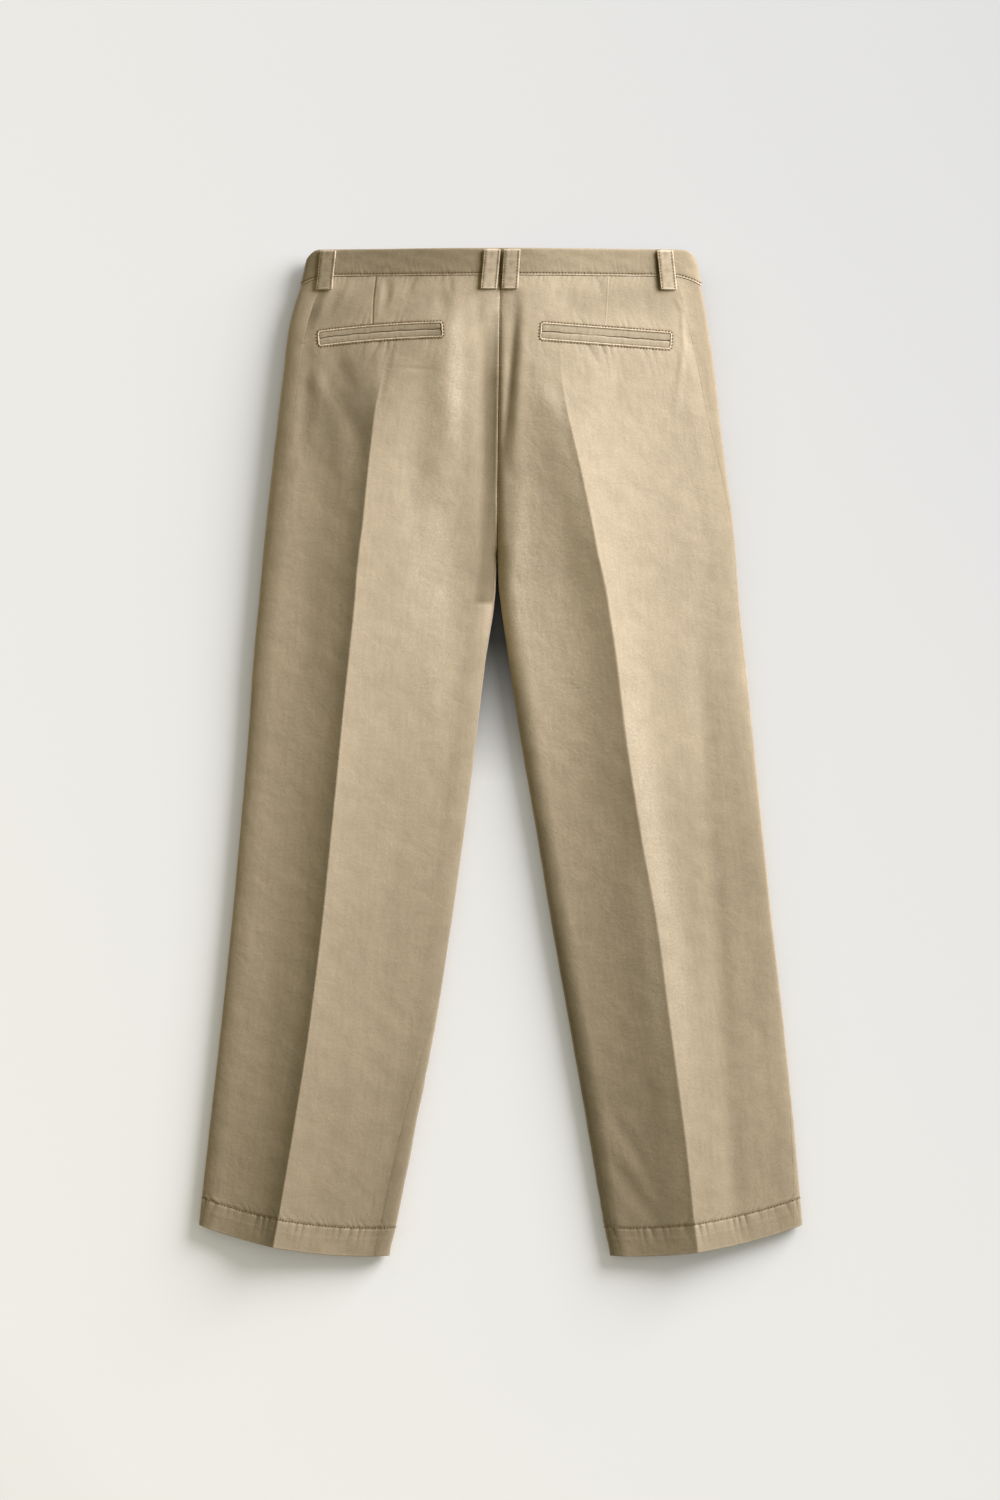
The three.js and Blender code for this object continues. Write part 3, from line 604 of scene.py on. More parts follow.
# outer faces of a grid, and inner ones at every second row and column, joined along the four borders
def shellPart(outer, inner, fields):
    rows, columns = outer.shape[:2]
    outerId = np.arange(rows * columns).reshape(rows, columns)
    coarse = inner[::2, ::2]
    innerId = rows * columns + np.arange(coarse.shape[0] * coarse.shape[1]).reshape(coarse.shape[:2])
    quads = [
        np.stack([outerId[:-1, :-1], outerId[1:, :-1], outerId[1:, 1:], outerId[:-1, 1:]], -1).reshape(-1, 4),
        np.stack([innerId[:-1, :-1], innerId[:-1, 1:], innerId[1:, 1:], innerId[1:, :-1]], -1).reshape(-1, 4),
    ]
    triangles = []
    borders = [
        (outerId[0], innerId[0], 1),
        (outerId[-1], innerId[-1], -1),
        (outerId[:, 0], innerId[:, 0], -1),
        (outerId[:, -1], innerId[:, -1], 1),
    ]
    for fine, wide, way in borders:
        trios = [
            np.stack([fine[:-2:2], fine[1::2], wide[:-1]], -1),
            np.stack([fine[1::2], fine[2::2], wide[1:]], -1),
            np.stack([fine[1::2], wide[1:], wide[:-1]], -1),
        ]
        triangles += [trio[:, ::way] for trio in trios]
    both = {name: np.concatenate([flat(field), flat(field[::2, ::2])]) for name, field in fields.items()}
    verts = np.concatenate([outer.reshape(-1, 3), coarse.reshape(-1, 3)])
    return {"verts": verts, "faces": quads + triangles, "fields": both}


def flat(field):
    return field.reshape(-1, field.shape[-1]) if field.ndim == 3 else field.reshape(-1)


# a tube whose rings are the second axis of the grid. A closed path joins its last ring to its first.
def tubePart(grid, fields, closedPath=False):
    steps, around = grid.shape[:2]
    ids = np.arange(steps * around).reshape(steps, around)
    if closedPath:
        ids = np.concatenate([ids, ids[:1]])
    ids = np.concatenate([ids, ids[:, :1]], axis=1)
    faces = [np.stack([ids[:-1, :-1], ids[1:, :-1], ids[1:, 1:], ids[:-1, 1:]], -1).reshape(-1, 4)]
    verts = grid.reshape(-1, 3)
    values = {name: flat(field) for name, field in fields.items()}
    if not closedPath:
        middles = np.array([grid[0].mean(axis=0), grid[-1].mean(axis=0)])
        first, last = len(verts), len(verts) + 1
        verts = np.concatenate([verts, middles])
        top, foot = ids[0], ids[-1]
        faces.append(np.stack([top[:-1], top[1:], np.full(around, first)], -1))
        faces.append(np.stack([foot[1:], foot[:-1], np.full(around, last)], -1))
        values = {name: np.concatenate([value, value[:1], value[-1:]]) for name, value in values.items()}
    return {"verts": verts, "faces": faces, "fields": values}


def facingOut(part):
    volume = 0
    for block in part["faces"]:
        corners = part["verts"][block]
        for k in range(1, block.shape[1] - 1):
            volume += np.einsum("ij,ij->", corners[:, 0], np.cross(corners[:, k], corners[:, k + 1]))
    if volume < 0:
        part["faces"] = [block[:, ::-1] for block in part["faces"]]
    return part


# one object from closed parts, its fields kept as attributes for the materials
def meshPiece(name, parts, materials, sharpAngle=None):
    verts, faces, picks = [], [], []
    # the darkening field is painted shade; the paling field is real wear plus painted highlights
    fields = {"wearAndHighlight": [], "paintedShade": [], "cloth": []}
    start = 0
    for part in parts:
        part = facingOut(part)
        for block in part["faces"]:
            faces += (block + start).tolist()
            picks += [part.get("material", 0)] * len(block)
        verts.append(part["verts"])
        start += len(part["verts"])
        for key, blank in (("wearAndHighlight", 0), ("paintedShade", 0), ("cloth", None)):
            value = part["fields"].get(key)
            if value is None:
                value = part["verts"][:, :2] if blank is None else np.full(len(part["verts"]), blank)
            fields[key].append(value)
    mesh = bpy.data.meshes.new(name)
    mesh.from_pydata((np.concatenate(verts) / metre).tolist(), [], faces)
    for key in ("wearAndHighlight", "paintedShade"):
        layer = mesh.attributes.new(key, "FLOAT", "POINT")
        layer.data.foreach_set("value", np.clip(np.concatenate(fields[key]), 0, 1).astype(np.float32))
    cloth = np.concatenate(fields["cloth"]) / metre
    layer = mesh.attributes.new("cloth", "FLOAT_VECTOR", "POINT")
    layer.data.foreach_set("vector", np.pad(cloth, ((0, 0), (0, 1))).astype(np.float32).ravel())
    for material in materials:
        mesh.materials.append(material)
    mesh.polygons.foreach_set("material_index", picks)
    mesh.shade_smooth()
    if sharpAngle:
        mesh.set_sharp_from_angle(angle=math.radians(sharpAngle))
    piece = bpy.data.objects.new(name, mesh)
    bpy.context.scene.collection.objects.link(piece)
    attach(piece, "root")
    return piece


# Materials

def nodeMaker(tree):
    def make(kind, inputs=None, **settings):
        node = tree.nodes.new(kind)
        for key, value in settings.items():
            setattr(node, key, value)
        for key, value in (inputs or {}).items():
            if isinstance(value, bpy.types.NodeSocket):
                tree.links.new(value, node.inputs[key])
            else:
                node.inputs[key].default_value = value
        return node

    return make


def effectGroup(name, inputs, outputs):
    tree = bpy.data.node_groups.new(name, "ShaderNodeTree")
    for socket, kind, start in inputs:
        item = tree.interface.new_socket(socket, in_out="INPUT", socket_type=kind)
        if start is not None:
            item.default_value = start
    for socket, kind in outputs:
        tree.interface.new_socket(socket, in_out="OUTPUT", socket_type=kind)
    return tree, nodeMaker(tree)


# diagonal wales of a cotton twill, with uneven yarn
def makeTwillWeave():
    tree, make = effectGroup(
        "twillWeave",
        [("Place", "NodeSocketVector", None), ("Wales", "NodeSocketFloat", 1500.0), ("Slub", "NodeSocketFloat", 0.5)],
        [("Height", "NodeSocketFloat"), ("Thread", "NodeSocketFloat")],
    )
    given = make("NodeGroupInput")
    result = make("NodeGroupOutput")
    drift = make("ShaderNodeTexNoise", {"Vector": given.outputs["Place"], "Scale": 90.0, "Detail": 2.0})
    diagonal = make("ShaderNodeVectorMath", {0: given.outputs["Place"], 1: (0.86, 0.51, 0)}, operation="DOT_PRODUCT")
    turns = make("ShaderNodeMath", {0: diagonal.outputs["Value"], 1: given.outputs["Wales"]}, operation="MULTIPLY")
    uneven = make("ShaderNodeMath", {0: drift.outputs[0], 1: 3.0, 2: turns.outputs[0]}, operation="MULTIPLY_ADD")
    angle = make("ShaderNodeMath", {0: uneven.outputs[0], 1: 2 * math.pi}, operation="MULTIPLY")
    wale = make("ShaderNodeMath", {0: angle.outputs[0]}, operation="SINE")
    yarnPlace = make("ShaderNodeMapping", {"Vector": given.outputs["Place"], "Scale": (2400, 420, 1)})
    yarn = make("ShaderNodeTexNoise", {"Vector": yarnPlace.outputs[0], "Scale": 1.0, "Detail": 3.0})
    weftPlace = make("ShaderNodeMapping", {"Vector": given.outputs["Place"], "Scale": (300, 1700, 1)})
    weft = make("ShaderNodeTexNoise", {"Vector": weftPlace.outputs[0], "Scale": 1.0, "Detail": 2.0})
    slubs = make("ShaderNodeMath", {0: yarn.outputs[0], 1: weft.outputs[0]}, operation="ADD")
    raised = make("ShaderNodeMath", {0: slubs.outputs[0], 1: given.outputs["Slub"]}, operation="MULTIPLY")
    height = make("ShaderNodeMath", {0: wale.outputs[0], 1: 0.25, 2: raised.outputs[0]}, operation="MULTIPLY_ADD")
    tree.links.new(height.outputs[0], result.inputs["Height"])
    tree.links.new(slubs.outputs[0], result.inputs["Thread"])
    return tree


# cloudy tone of cloth that was dyed and washed as a finished garment
def makeGarmentDye():
    tree, make = effectGroup(
        "garmentDye",
        [("Place", "NodeSocketVector", None), ("Thread", "NodeSocketFloat", 1.0), ("Cloud", "NodeSocketFloat", 0.1)],
        [("Tone", "NodeSocketFloat")],
    )
    given = make("NodeGroupInput")
    result = make("NodeGroupOutput")
    broad = make("ShaderNodeTexNoise", {"Vector": given.outputs["Place"], "Scale": 11.0, "Detail": 3.0})
    patch = make("ShaderNodeTexNoise", {"Vector": given.outputs["Place"], "Scale": 55.0, "Detail": 4.0})
    streakPlace = make("ShaderNodeMapping", {"Vector": given.outputs["Place"], "Scale": (260, 26, 1)})
    streak = make("ShaderNodeTexNoise", {"Vector": streakPlace.outputs[0], "Scale": 1.0, "Detail": 3.0})
    grain = make("ShaderNodeTexNoise", {"Vector": given.outputs["Place"], "Scale": 520.0, "Detail": 2.0})
    total = None
    for noise, weight in ((broad, 1.0), (patch, 0.9), (streak, 0.8), (grain, 1.1)):
        centred = make("ShaderNodeMath", {0: noise.outputs[0], 1: 0.5}, operation="SUBTRACT")
        sources = {0: centred.outputs[0], 1: weight, 2: total.outputs[0] if total else 0.0}
        total = make("ShaderNodeMath", sources, operation="MULTIPLY_ADD")
    threads = make("ShaderNodeMath", {0: given.outputs["Thread"], 1: 1.0}, operation="SUBTRACT")
    both = make("ShaderNodeMath", {0: threads.outputs[0], 1: 0.7, 2: total.outputs[0]}, operation="MULTIPLY_ADD")
    tone = make("ShaderNodeMath", {0: both.outputs[0], 1: given.outputs["Cloud"], 2: 1.0}, operation="MULTIPLY_ADD")
    tree.links.new(tone.outputs[0], result.inputs["Tone"])
    return tree


# pale mask of wear where the cloth stands up along seams and edges, with painted highlights where folds face the
# light
def makeWearAndHighlightMask():
    tree, make = effectGroup(
        "wearAndHighlightMask",
        [("WearAndHighlight", "NodeSocketFloat", 0.0), ("Place", "NodeSocketVector", None), ("Rub", "NodeSocketFloat", 1.0)],
        [("Mask", "NodeSocketFloat")],
    )
    given = make("NodeGroupInput")
    result = make("NodeGroupOutput")
    speck = make("ShaderNodeTexNoise", {"Vector": given.outputs["Place"], "Scale": 420.0, "Detail": 3.0})
    spread = make("ShaderNodeMapRange", {"Value": speck.outputs[0], "From Min": 0.3, "From Max": 0.7,
                                         "To Min": 0.55, "To Max": 1.2})
    rubbed = make("ShaderNodeMath", {0: given.outputs["WearAndHighlight"], 1: spread.outputs[0]}, operation="MULTIPLY")
    mask = make("ShaderNodeMath", {0: rubbed.outputs[0], 1: given.outputs["Rub"]}, operation="MULTIPLY")
    mask.use_clamp = True
    tree.links.new(mask.outputs[0], result.inputs["Mask"])
    return tree


# shallow creasing that washing leaves all over the cloth
def makeWashedCrumple():
    tree, make = effectGroup("washedCrumple", [("Place", "NodeSocketVector", None)], [("Height", "NodeSocketFloat")])
    given = make("NodeGroupInput")
    result = make("NodeGroupOutput")
    drift = make("ShaderNodeTexNoise", {"Vector": given.outputs["Place"], "Scale": 24.0, "Detail": 2.0})
    shift = make("ShaderNodeVectorMath", {0: drift.outputs["Color"], 1: (0.02, 0.02, 0), 2: given.outputs["Place"]},
                 operation="MULTIPLY_ADD")
    folded = make("ShaderNodeTexNoise", {"Vector": shift.outputs[0], "Scale": 62.0, "Detail": 4.0, "Roughness": 0.62})
    tree.links.new(folded.outputs[0], result.inputs["Height"])
    return tree


twillWeave = makeTwillWeave()
garmentDye = makeGarmentDye()
wearAndHighlightMask = makeWearAndHighlightMask()
washedCrumple = makeWashedCrumple()

cottonLook = {
    "dye": (0.52, 0.415, 0.291, 1),
    # pale colour of real wear on edges and of painted highlights on lit folds and flanks
    "wearAndHighlight": (0.77, 0.633, 0.47, 1),
    "paintedShadeColour": (0.157, 0.12, 0.062, 1),  # colour of painted shade, reached in folds, grooves and gaps
    "cloud": 0.25,
    "wales": 1500.0,
    "bump": 0.35,
    "crumple": 0.21,
    "sheen": 0.22,
}


def cottonMaterial(name, dye, cloud, rub):
    material = bpy.data.materials.new(name)
    material.use_nodes = True
    tree = material.node_tree
    tree.nodes.clear()
    make = nodeMaker(tree)
    place = make("ShaderNodeAttribute", attribute_name="cloth").outputs["Vector"]
    wearAndHighlight = make("ShaderNodeAttribute", attribute_name="wearAndHighlight").outputs["Fac"]
    paintedShade = make("ShaderNodeAttribute", attribute_name="paintedShade").outputs["Fac"]
    weave = make("ShaderNodeGroup", node_tree=twillWeave)
    weave.inputs["Wales"].default_value = cottonLook["wales"]
    tree.links.new(place, weave.inputs["Place"])
    dyed = make("ShaderNodeGroup", node_tree=garmentDye)
    dyed.inputs["Cloud"].default_value = cloud
    tree.links.new(place, dyed.inputs["Place"])
    tree.links.new(weave.outputs["Thread"], dyed.inputs["Thread"])
    wearAndHighlightNode = make("ShaderNodeGroup", node_tree=wearAndHighlightMask)
    wearAndHighlightNode.inputs["Rub"].default_value = rub
    tree.links.new(wearAndHighlight, wearAndHighlightNode.inputs["WearAndHighlight"])
    tree.links.new(place, wearAndHighlightNode.inputs["Place"])
    colour = make("ShaderNodeMix", data_type="RGBA")
    colour.inputs["A"].default_value = dye
    colour.inputs["B"].default_value = cottonLook["wearAndHighlight"]
    tree.links.new(wearAndHighlightNode.outputs["Mask"], colour.inputs["Factor"])
    # painted shade: darken towards that colour where the shade field says
    paintedShadeMix = make("ShaderNodeMix", data_type="RGBA")
    paintedShadeMix.inputs["B"].default_value = cottonLook["paintedShadeColour"]
    tree.links.new(colour.outputs["Result"], paintedShadeMix.inputs["A"])
    depth = make("ShaderNodeMath", {0: paintedShade, 1: 0.73}, operation="MULTIPLY")
    tree.links.new(depth.outputs[0], paintedShadeMix.inputs["Factor"])
    toned = make("ShaderNodeVectorMath", operation="SCALE")
    tree.links.new(paintedShadeMix.outputs["Result"], toned.inputs[0])
    tree.links.new(dyed.outputs["Tone"], toned.inputs["Scale"])
    rough = make("ShaderNodeMapRange", {"Value": weave.outputs["Thread"], "From Min": 0.6, "From Max": 1.4,
                                        "To Min": 0.84, "To Max": 0.97})
    crumple = make("ShaderNodeGroup", node_tree=washedCrumple)
    tree.links.new(place, crumple.inputs["Place"])
    soft = make("ShaderNodeBump", {"Strength": cottonLook["crumple"], "Distance": 0.004,
                                   "Height": crumple.outputs["Height"]})
    bump = make("ShaderNodeBump", {"Strength": cottonLook["bump"], "Distance": 0.0003,
                                   "Height": weave.outputs["Height"], "Normal": soft.outputs[0]})
    shader = make("ShaderNodeBsdfPrincipled")
    shader.inputs["Sheen Weight"].default_value = cottonLook["sheen"]
    shader.inputs["Sheen Roughness"].default_value = 0.55
    shader.inputs["Sheen Tint"].default_value = (1, 0.94, 0.84, 1)
    shader.inputs["Specular IOR Level"].default_value = 0.2
    tree.links.new(toned.outputs[0], shader.inputs["Base Color"])
    tree.links.new(rough.outputs[0], shader.inputs["Roughness"])
    tree.links.new(bump.outputs[0], shader.inputs["Normal"])
    output = make("ShaderNodeOutputMaterial")
    tree.links.new(shader.outputs[0], output.inputs["Surface"])
    return material


def scaled(colour, factor):
    return (*[channel * factor for channel in colour[:3]], 1)


panelCotton = cottonMaterial("panelCotton", cottonLook["dye"], cottonLook["cloud"], 1.0)
# the band's dye is darker than the panels', partly painted shade for the band
bandCotton = cottonMaterial("bandCotton", (0.435, 0.345, 0.232, 1), cottonLook["cloud"], 1.0)
loopCotton = cottonMaterial("loopCotton", scaled(cottonLook["dye"], 0.93), 0.34, 1.0)
lipCotton = cottonMaterial("lipCotton", scaled(cottonLook["dye"], 0.86), 0.26, 1.0)
threadCotton = cottonMaterial("threadCotton", (0.2, 0.115, 0.046, 1), 0.3, 0.0)
zipCotton = cottonMaterial("zipCotton", (0.36, 0.285, 0.185, 1), 0.1, 1.0)
print("materials made")


# Panels

def panelGrid(side, columns, withPocket):
    rows = panelRows()[:, None]
    section = sectionAt(side, rows)
    around = columns(side, section)
    points = ringPoint(section, around)
    normal = ringNormal(side, rows, around)
    height, wearAndHighlight, paintedShade = makingRelief(side, section, around, points)
    # nothing stands out from the underside, which lies on the surface
    top = smooth((around + 6) / 10) + smooth((6 - around - section["width"]) / 10) * ~section["open"]
    if withPocket:
        x = points[..., 0]
        shows = form["waistAhead"] - points[..., 1]
        extra = pocketRelief(side, x, shows)
        height, wearAndHighlight, paintedShade = height + extra[0], wearAndHighlight + extra[1], paintedShade + extra[2]
        half = panelMake["dartHalf"]
        away = np.abs(around - dartShare(side, section) * section["width"])
        along, below = mouthFrom(pockets[side], x, shows)
        sewn = smooth((-pockets[side]["above"] - 1.5 - below) / 3) * (away < half / 2)
        # painted shade on the left dart and painted highlight on the right one, as the light falls on them
        if side == "Left":
            height = height - panelMake["dartDeep"] * sewn
            paintedShade = paintedShade + 0.7 * sewn
        else:
            height = height - 0.3 * panelMake["dartDeep"] * sewn
            wearAndHighlight = wearAndHighlight + 0.7 * sewn
        ridge = bell((around - section["creaseAt"] * section["width"]) / 1.2)
        wearAndHighlight = wearAndHighlight + 0.2 * ridge * smooth((rows - 110) / 60)
        paintedShade = paintedShade + paintedLoopShadow(x) * (1 - smooth((rows - 38) / 5))
    sideBorder, innerBorder = np.abs(around - around[:, :1]), np.abs(around - around[:, -1:])
    ends = np.minimum(rows - rows[0], rows[-1] - rows)
    innerDrop = edgeDrop(innerBorder, panelMake["seatRadius"]) * section["open"]
    drop = np.maximum(edgeDrop(sideBorder, panelMake["sideRadius"]), innerDrop)
    drop = np.maximum(drop, edgeDrop(ends, panelMake["edgeRadius"]))
    wearAndHighlight = wearAndHighlight + 0.5 * bell((rows - form["hemDown"]) / 1.6)
    if withPocket:
        lap = bell(innerBorder / 1.7) * section["open"]
        if side == "Left":  # the left panel laps over the right one along the back seam
            height = height + 0.5 * lap
            wearAndHighlight = wearAndHighlight + 1.7 * lap
            # painted shade and painted highlights in patches over the left seat and hip
            paintedShade = paintedShade + 0.75 * bell((x + 168) / 36) * bell((rows - 150) / 60)
            paintedShade = paintedShade + (0.8 * bell((x + 197) / 9) + 0.45 * bell((x + 168) / 24)) * bell((rows - 61) / 21)
            wearAndHighlight = wearAndHighlight + 0.5 * bell((x + 226) / 9) * bell((rows - 165) / 45)
            wearAndHighlight = wearAndHighlight + 0.6 * bell((x + 182) / 7) * bell((rows - 150) / 35)
        else:
            height = height - 0.15 * lap
            # painted shade along the groove right of the back seam, beside the lap and over the yoke, and a painted
            # highlight right of the seam
            groove = bell((x - mix(20.5, 3.5, np.clip((rows - 45) / 170, 0, 1))) / 3.4)
            groove = groove * smooth((rows - 42) / 55) * (1 - smooth((rows - 190) / 60))
            paintedShade = paintedShade + 0.35 * lap + 0.75 * groove
            paintedShade = paintedShade + 0.4 * bell((rows - 50) / 20) * smooth((x - 60) / 25)
            wearAndHighlight = wearAndHighlight + 0.5 * bell((x - 22) / 14) * bell((rows - 290) / 80)
        # painted shade on the shaded side of a pressed crease
        fromCrease = (around - section["creaseAt"] * section["width"]) * (1 if side == "Right" else -1)
        pressed = bell(fromCrease / 15) * (fromCrease > 0) * smooth((rows - 112) / 75)
        paintedShade = paintedShade + (0.62 if side == "Left" else 0) * pressed
        if side == "Right":
            # painted shade and painted highlights on the two flanks of the right crease
            inward = smooth((fromCrease + 2) / 4)
            paintedShade = paintedShade + 0.34 * smooth((rows - 420) / 420) * inward
            paintedShade = paintedShade + 0.3 * bell((rows - 640) / 150) * (1 - inward)
            wearAndHighlight = wearAndHighlight + 0.45 * bell((rows - 400) / 130) * smooth((fromCrease - 16) / 20)
            wearAndHighlight = wearAndHighlight + 0.22 * bell((rows - 260) / 190) * (1 - inward)
            wearAndHighlight = wearAndHighlight + 0.95 * bell((fromCrease + 12) / 16) * bell((rows - 640) / 190) * (1 - inward)
            soft = 0.9 * bell((rows - 235) / 70) + 0.75 * smooth((rows - 560) / 120)
            wearAndHighlight = wearAndHighlight + soft * bell((fromCrease - 8) / 12) * inward
        else:
            # painted highlights on the left seat and thigh, inside the crease
            paintedHighlight = bell((x + 46) / 10) + 0.75 * bell((x + 68) / 15)
            wearAndHighlight = wearAndHighlight + 0.75 * paintedHighlight * smooth((rows - 36) / 45) * (1 - smooth((rows - 150) / 80))
            wearAndHighlight = wearAndHighlight + 0.65 * bell((x + 70) / 26) * bell((rows - 330) / 130)
    relief = height * top
    outer = points + normal * (relief - drop)[..., None]
    inner = points + normal * (relief - form["clothWall"] + 0.3 * drop)[..., None]
    cloth = np.stack(np.broadcast_arrays(around, rows), axis=-1)
    fields = {"wearAndHighlight": wearAndHighlight, "paintedShade": paintedShade * top, "cloth": cloth}
    return shellPart(outer, inner, fields)


def backPanel(side):
    parts = [panelGrid(side, backColumns, True), pocketRim(side)]
    if side == "Left":
        parts.append(seatAllowance())
    return meshPiece("backPanel" + side, parts, [panelCotton])


# the seam allowances pressed flat under the back seam, coloured dark as painted shade
def seatAllowance():
    down = np.linspace(*panelMake["allowanceDown"], 59)[:, None]
    inset = np.array([[7.0, 5.0, 3.0, 1.2, 0.1]])
    halves = []
    for side in ("Left", "Right"):
        section = sectionAt(side, down)
        around = section["width"] - (inset if side == "Left" else inset[:, -2::-1])
        normal = ringNormal(side, down + 0 * around, around)
        halves.append((ringPoint(section, around), normal, around))
    points, normal, around = [np.concatenate(pair, axis=1) for pair in zip(*halves)]
    outer = points - normal * (form["clothWall"] + panelMake["allowanceClear"])
    inner = outer - normal * panelMake["allowanceWall"]
    cloth = np.stack(np.broadcast_arrays(around, down), axis=-1)
    paintedShade = np.full(around.shape, 0.8)
    return shellPart(outer, inner, {"wearAndHighlight": 0 * paintedShade, "paintedShade": paintedShade, "cloth": cloth})


# the panel's cloth rolled over the edge of the pocket window
def pocketRim(side):
    pocket = pockets[side]
    along, below = windowPath(pocket, pocketMake["rimOut"], 0.7)
    down, around = placeOf(side, *mouthTo(pocket, along, below))
    normal = ringNormal(side, down, around)
    middle = surfaceAt(side, down, around, -0.25 + 0 * down)
    forward = unit(np.roll(middle, -1, axis=0) - np.roll(middle, 1, axis=0))
    outward = np.cross(normal, forward)
    steps = np.concatenate([[0], np.cumsum(np.linalg.norm(np.diff(middle, axis=0), axis=1))])
    pulled = 1 + 0.13 * np.sin(2 * np.pi * steps / 3.0) + 0.08 * np.sin(2 * np.pi * steps / 11.0)
    angle = np.linspace(0, 2 * np.pi, 12, endpoint=False)
    wide = pocketMake["rimWide"] * np.cos(angle)[None, :] * pulled[:, None]
    high = pocketMake["rimHigh"] * np.sin(angle)[None, :] * pulled[:, None]
    grid = middle[:, None] + outward[:, None] * wide[..., None] + normal[:, None] * high[..., None]
    wearAndHighlight = np.clip(0.45 + 0.75 * np.sin(angle), 0, 1)[None, :] * np.clip(pulled, 0.8, 1.1)[:, None]
    cloth = np.stack(np.broadcast_arrays(steps[:, None], angle[None, :]), axis=-1)
    return tubePart(grid, {"wearAndHighlight": wearAndHighlight, "cloth": cloth}, closedPath=True)


# from the side seam on top, round the outer edge and underneath, to the fly or round to the inseam
def frontColumns(side, section, pastMiddle=None):
    width = section["width"]
    half = form["seamGap"] / 2
    reach = {"Left": 1, "Right": -1}[side] * section["fly"] if pastMiddle is None else pastMiddle
    onTop = section["sideSeam"] - form["closeGap"] / 2
    roll = form["floorRoll"]
    openEnd = -(width + reach - half)
    closedEnd = -(width + section["inseam"] - form["closeGap"] / 2)
    end = np.where(section["open"], openEnd, closedEnd)
    turn = np.where(section["open"], -(width - form["frontLevel"]), -(width - roll))
    parts = [
        onTop - edgeSteps,
        mix(onTop - 1, 0, np.linspace(0, 1, 13)[1:]),
        mix(0, -roll, np.linspace(0, 1, 11)[1:] ** 1.4),
        evenBetween(-roll, turn, 18)[:, 1:],
        mix(turn, end + 1, 1 - (1 - np.linspace(0, 1, 17)[1:-1]) ** 1.2),
        end + edgeSteps[::-1],
    ]
    columns = np.concatenate([part + 0 * width for part in parts], axis=1)
    return columns if columns.shape[1] % 2 else np.delete(columns, 30, axis=1)


def frontPanel(side):
    return meshPiece("frontPanel" + side, [panelGrid(side, frontColumns, False)], [panelCotton])


# Waistband

bandMake = {
    "stitchUp": 2.7,  # line of stitches above the lower edge
    "puckers": 0.5,
    "marks": (81.8, 140.6),  # where seam allowances show through
}


def bandRing():
    wall = form["bandWall"]
    low = form["bandDown"] - form["seamGap"] / 2
    face = np.concatenate([[1.1], np.linspace(2.2, low - 1.6, 23), [low - 0.9]])
    ring = [(0.0, -wall * 0.5), (0.12, -wall * 0.22), (0.45, -wall * 0.06)]
    ring += [(down, 0.0) for down in face]
    ring += [(low - 0.35, -0.18), (low - 0.05, -0.5), (low, -1.0), (low, -1.9)]
    # seam allowance, under the panel
    ring += [(low + 2, -2.0), (low + 3.4, -2.02), (low + 3.4, -2.4), (low - 0.4, -wall - 0.05)]
    ring += [(down, -wall) for down in face[-3:1:-3]]
    ring += [(0.5, -wall * 0.94), (0.12, -wall * 0.78)]
    return np.array(ring)


def waistband(side):
    ring = bandRing()
    down = ring[:, 0][None, :] * np.ones((1, 1))
    seatSection = sectionAt(side, np.array([[14.0]]))
    backWay = backColumns(side, seatSection)[:, ::-1]
    frontWay = frontColumns(side, seatSection, {"Left": 1, "Right": -1}[side] * form["tabAcross"])
    shares = np.concatenate([backWay, frontWay[:, 1:]], axis=1)[0][:, None]
    onTop = shares > 0
    section = sectionAt(side, down)
    width = section["width"]
    scaledAround = shares * width / seatSection["width"]
    past = -(width + (shares[-1] * -1 - seatSection["width"]))
    around = np.where(shares < -(seatSection["width"] - 40), shares + (seatSection["width"] - width), scaledAround)
    around = np.maximum(around, past) if side == "Left" else around
    # the band's middle stays on the back seam
    around = np.where(onTop & (shares >= shares[0]), width - form["closeGap"] / 4, around)
    points = ringPoint(section, around)
    x = points[..., 0]
    normal = ringNormal(side, down + 0 * around, around)
    proud = form["bandProud"] + ring[:, 1][None, :]
    face = np.clip(1 + ring[:, 1] / 0.4, 0, 1)[None, :]
    low = form["bandDown"] - down
    pull = ripples(x, low, 5.6, 0.25, 8, 0.55)
    stitched = bell((low - bandMake["stitchUp"]) / 0.9)
    marks = sum(bell((x - at) / 1.3) for at in bandMake["marks"])
    height = bandMake["puckers"] * pull - 0.28 * stitched + 0.1 * marks + 0.4 * washedLie(x, down * 2.5)
    top = smooth((around + 6) / 10)
    points = points + normal * (proud + height * face * top)[..., None]
    edge = bell((low - 0.7) / 1.15)
    wearAndHighlight = (1.7 * edge + 0.3 * bell(down / 1.5) + 0.3 * np.clip(pull, 0, 1) + 0.08 * marks) * face
    # painted shade in the pucker troughs and the stitch groove, over the whole band, more on its left half that faces
    # away from the light, and in the loop gaps
    paintedShade = (0.75 * np.clip(-pull, 0, 1) + 0.9 * stitched) * (1 - edge) * face
    paintedShade = paintedShade + (0.25 if side == "Left" else 0.14) * face + paintedLoopShadow(x) * face
    cloth = np.stack(np.broadcast_arrays(around, down), axis=-1)
    return meshPiece("waistband" + side, [tubePart(points, {"wearAndHighlight": wearAndHighlight, "paintedShade": paintedShade, "cloth": cloth})],
                     [bandCotton])


# Hems

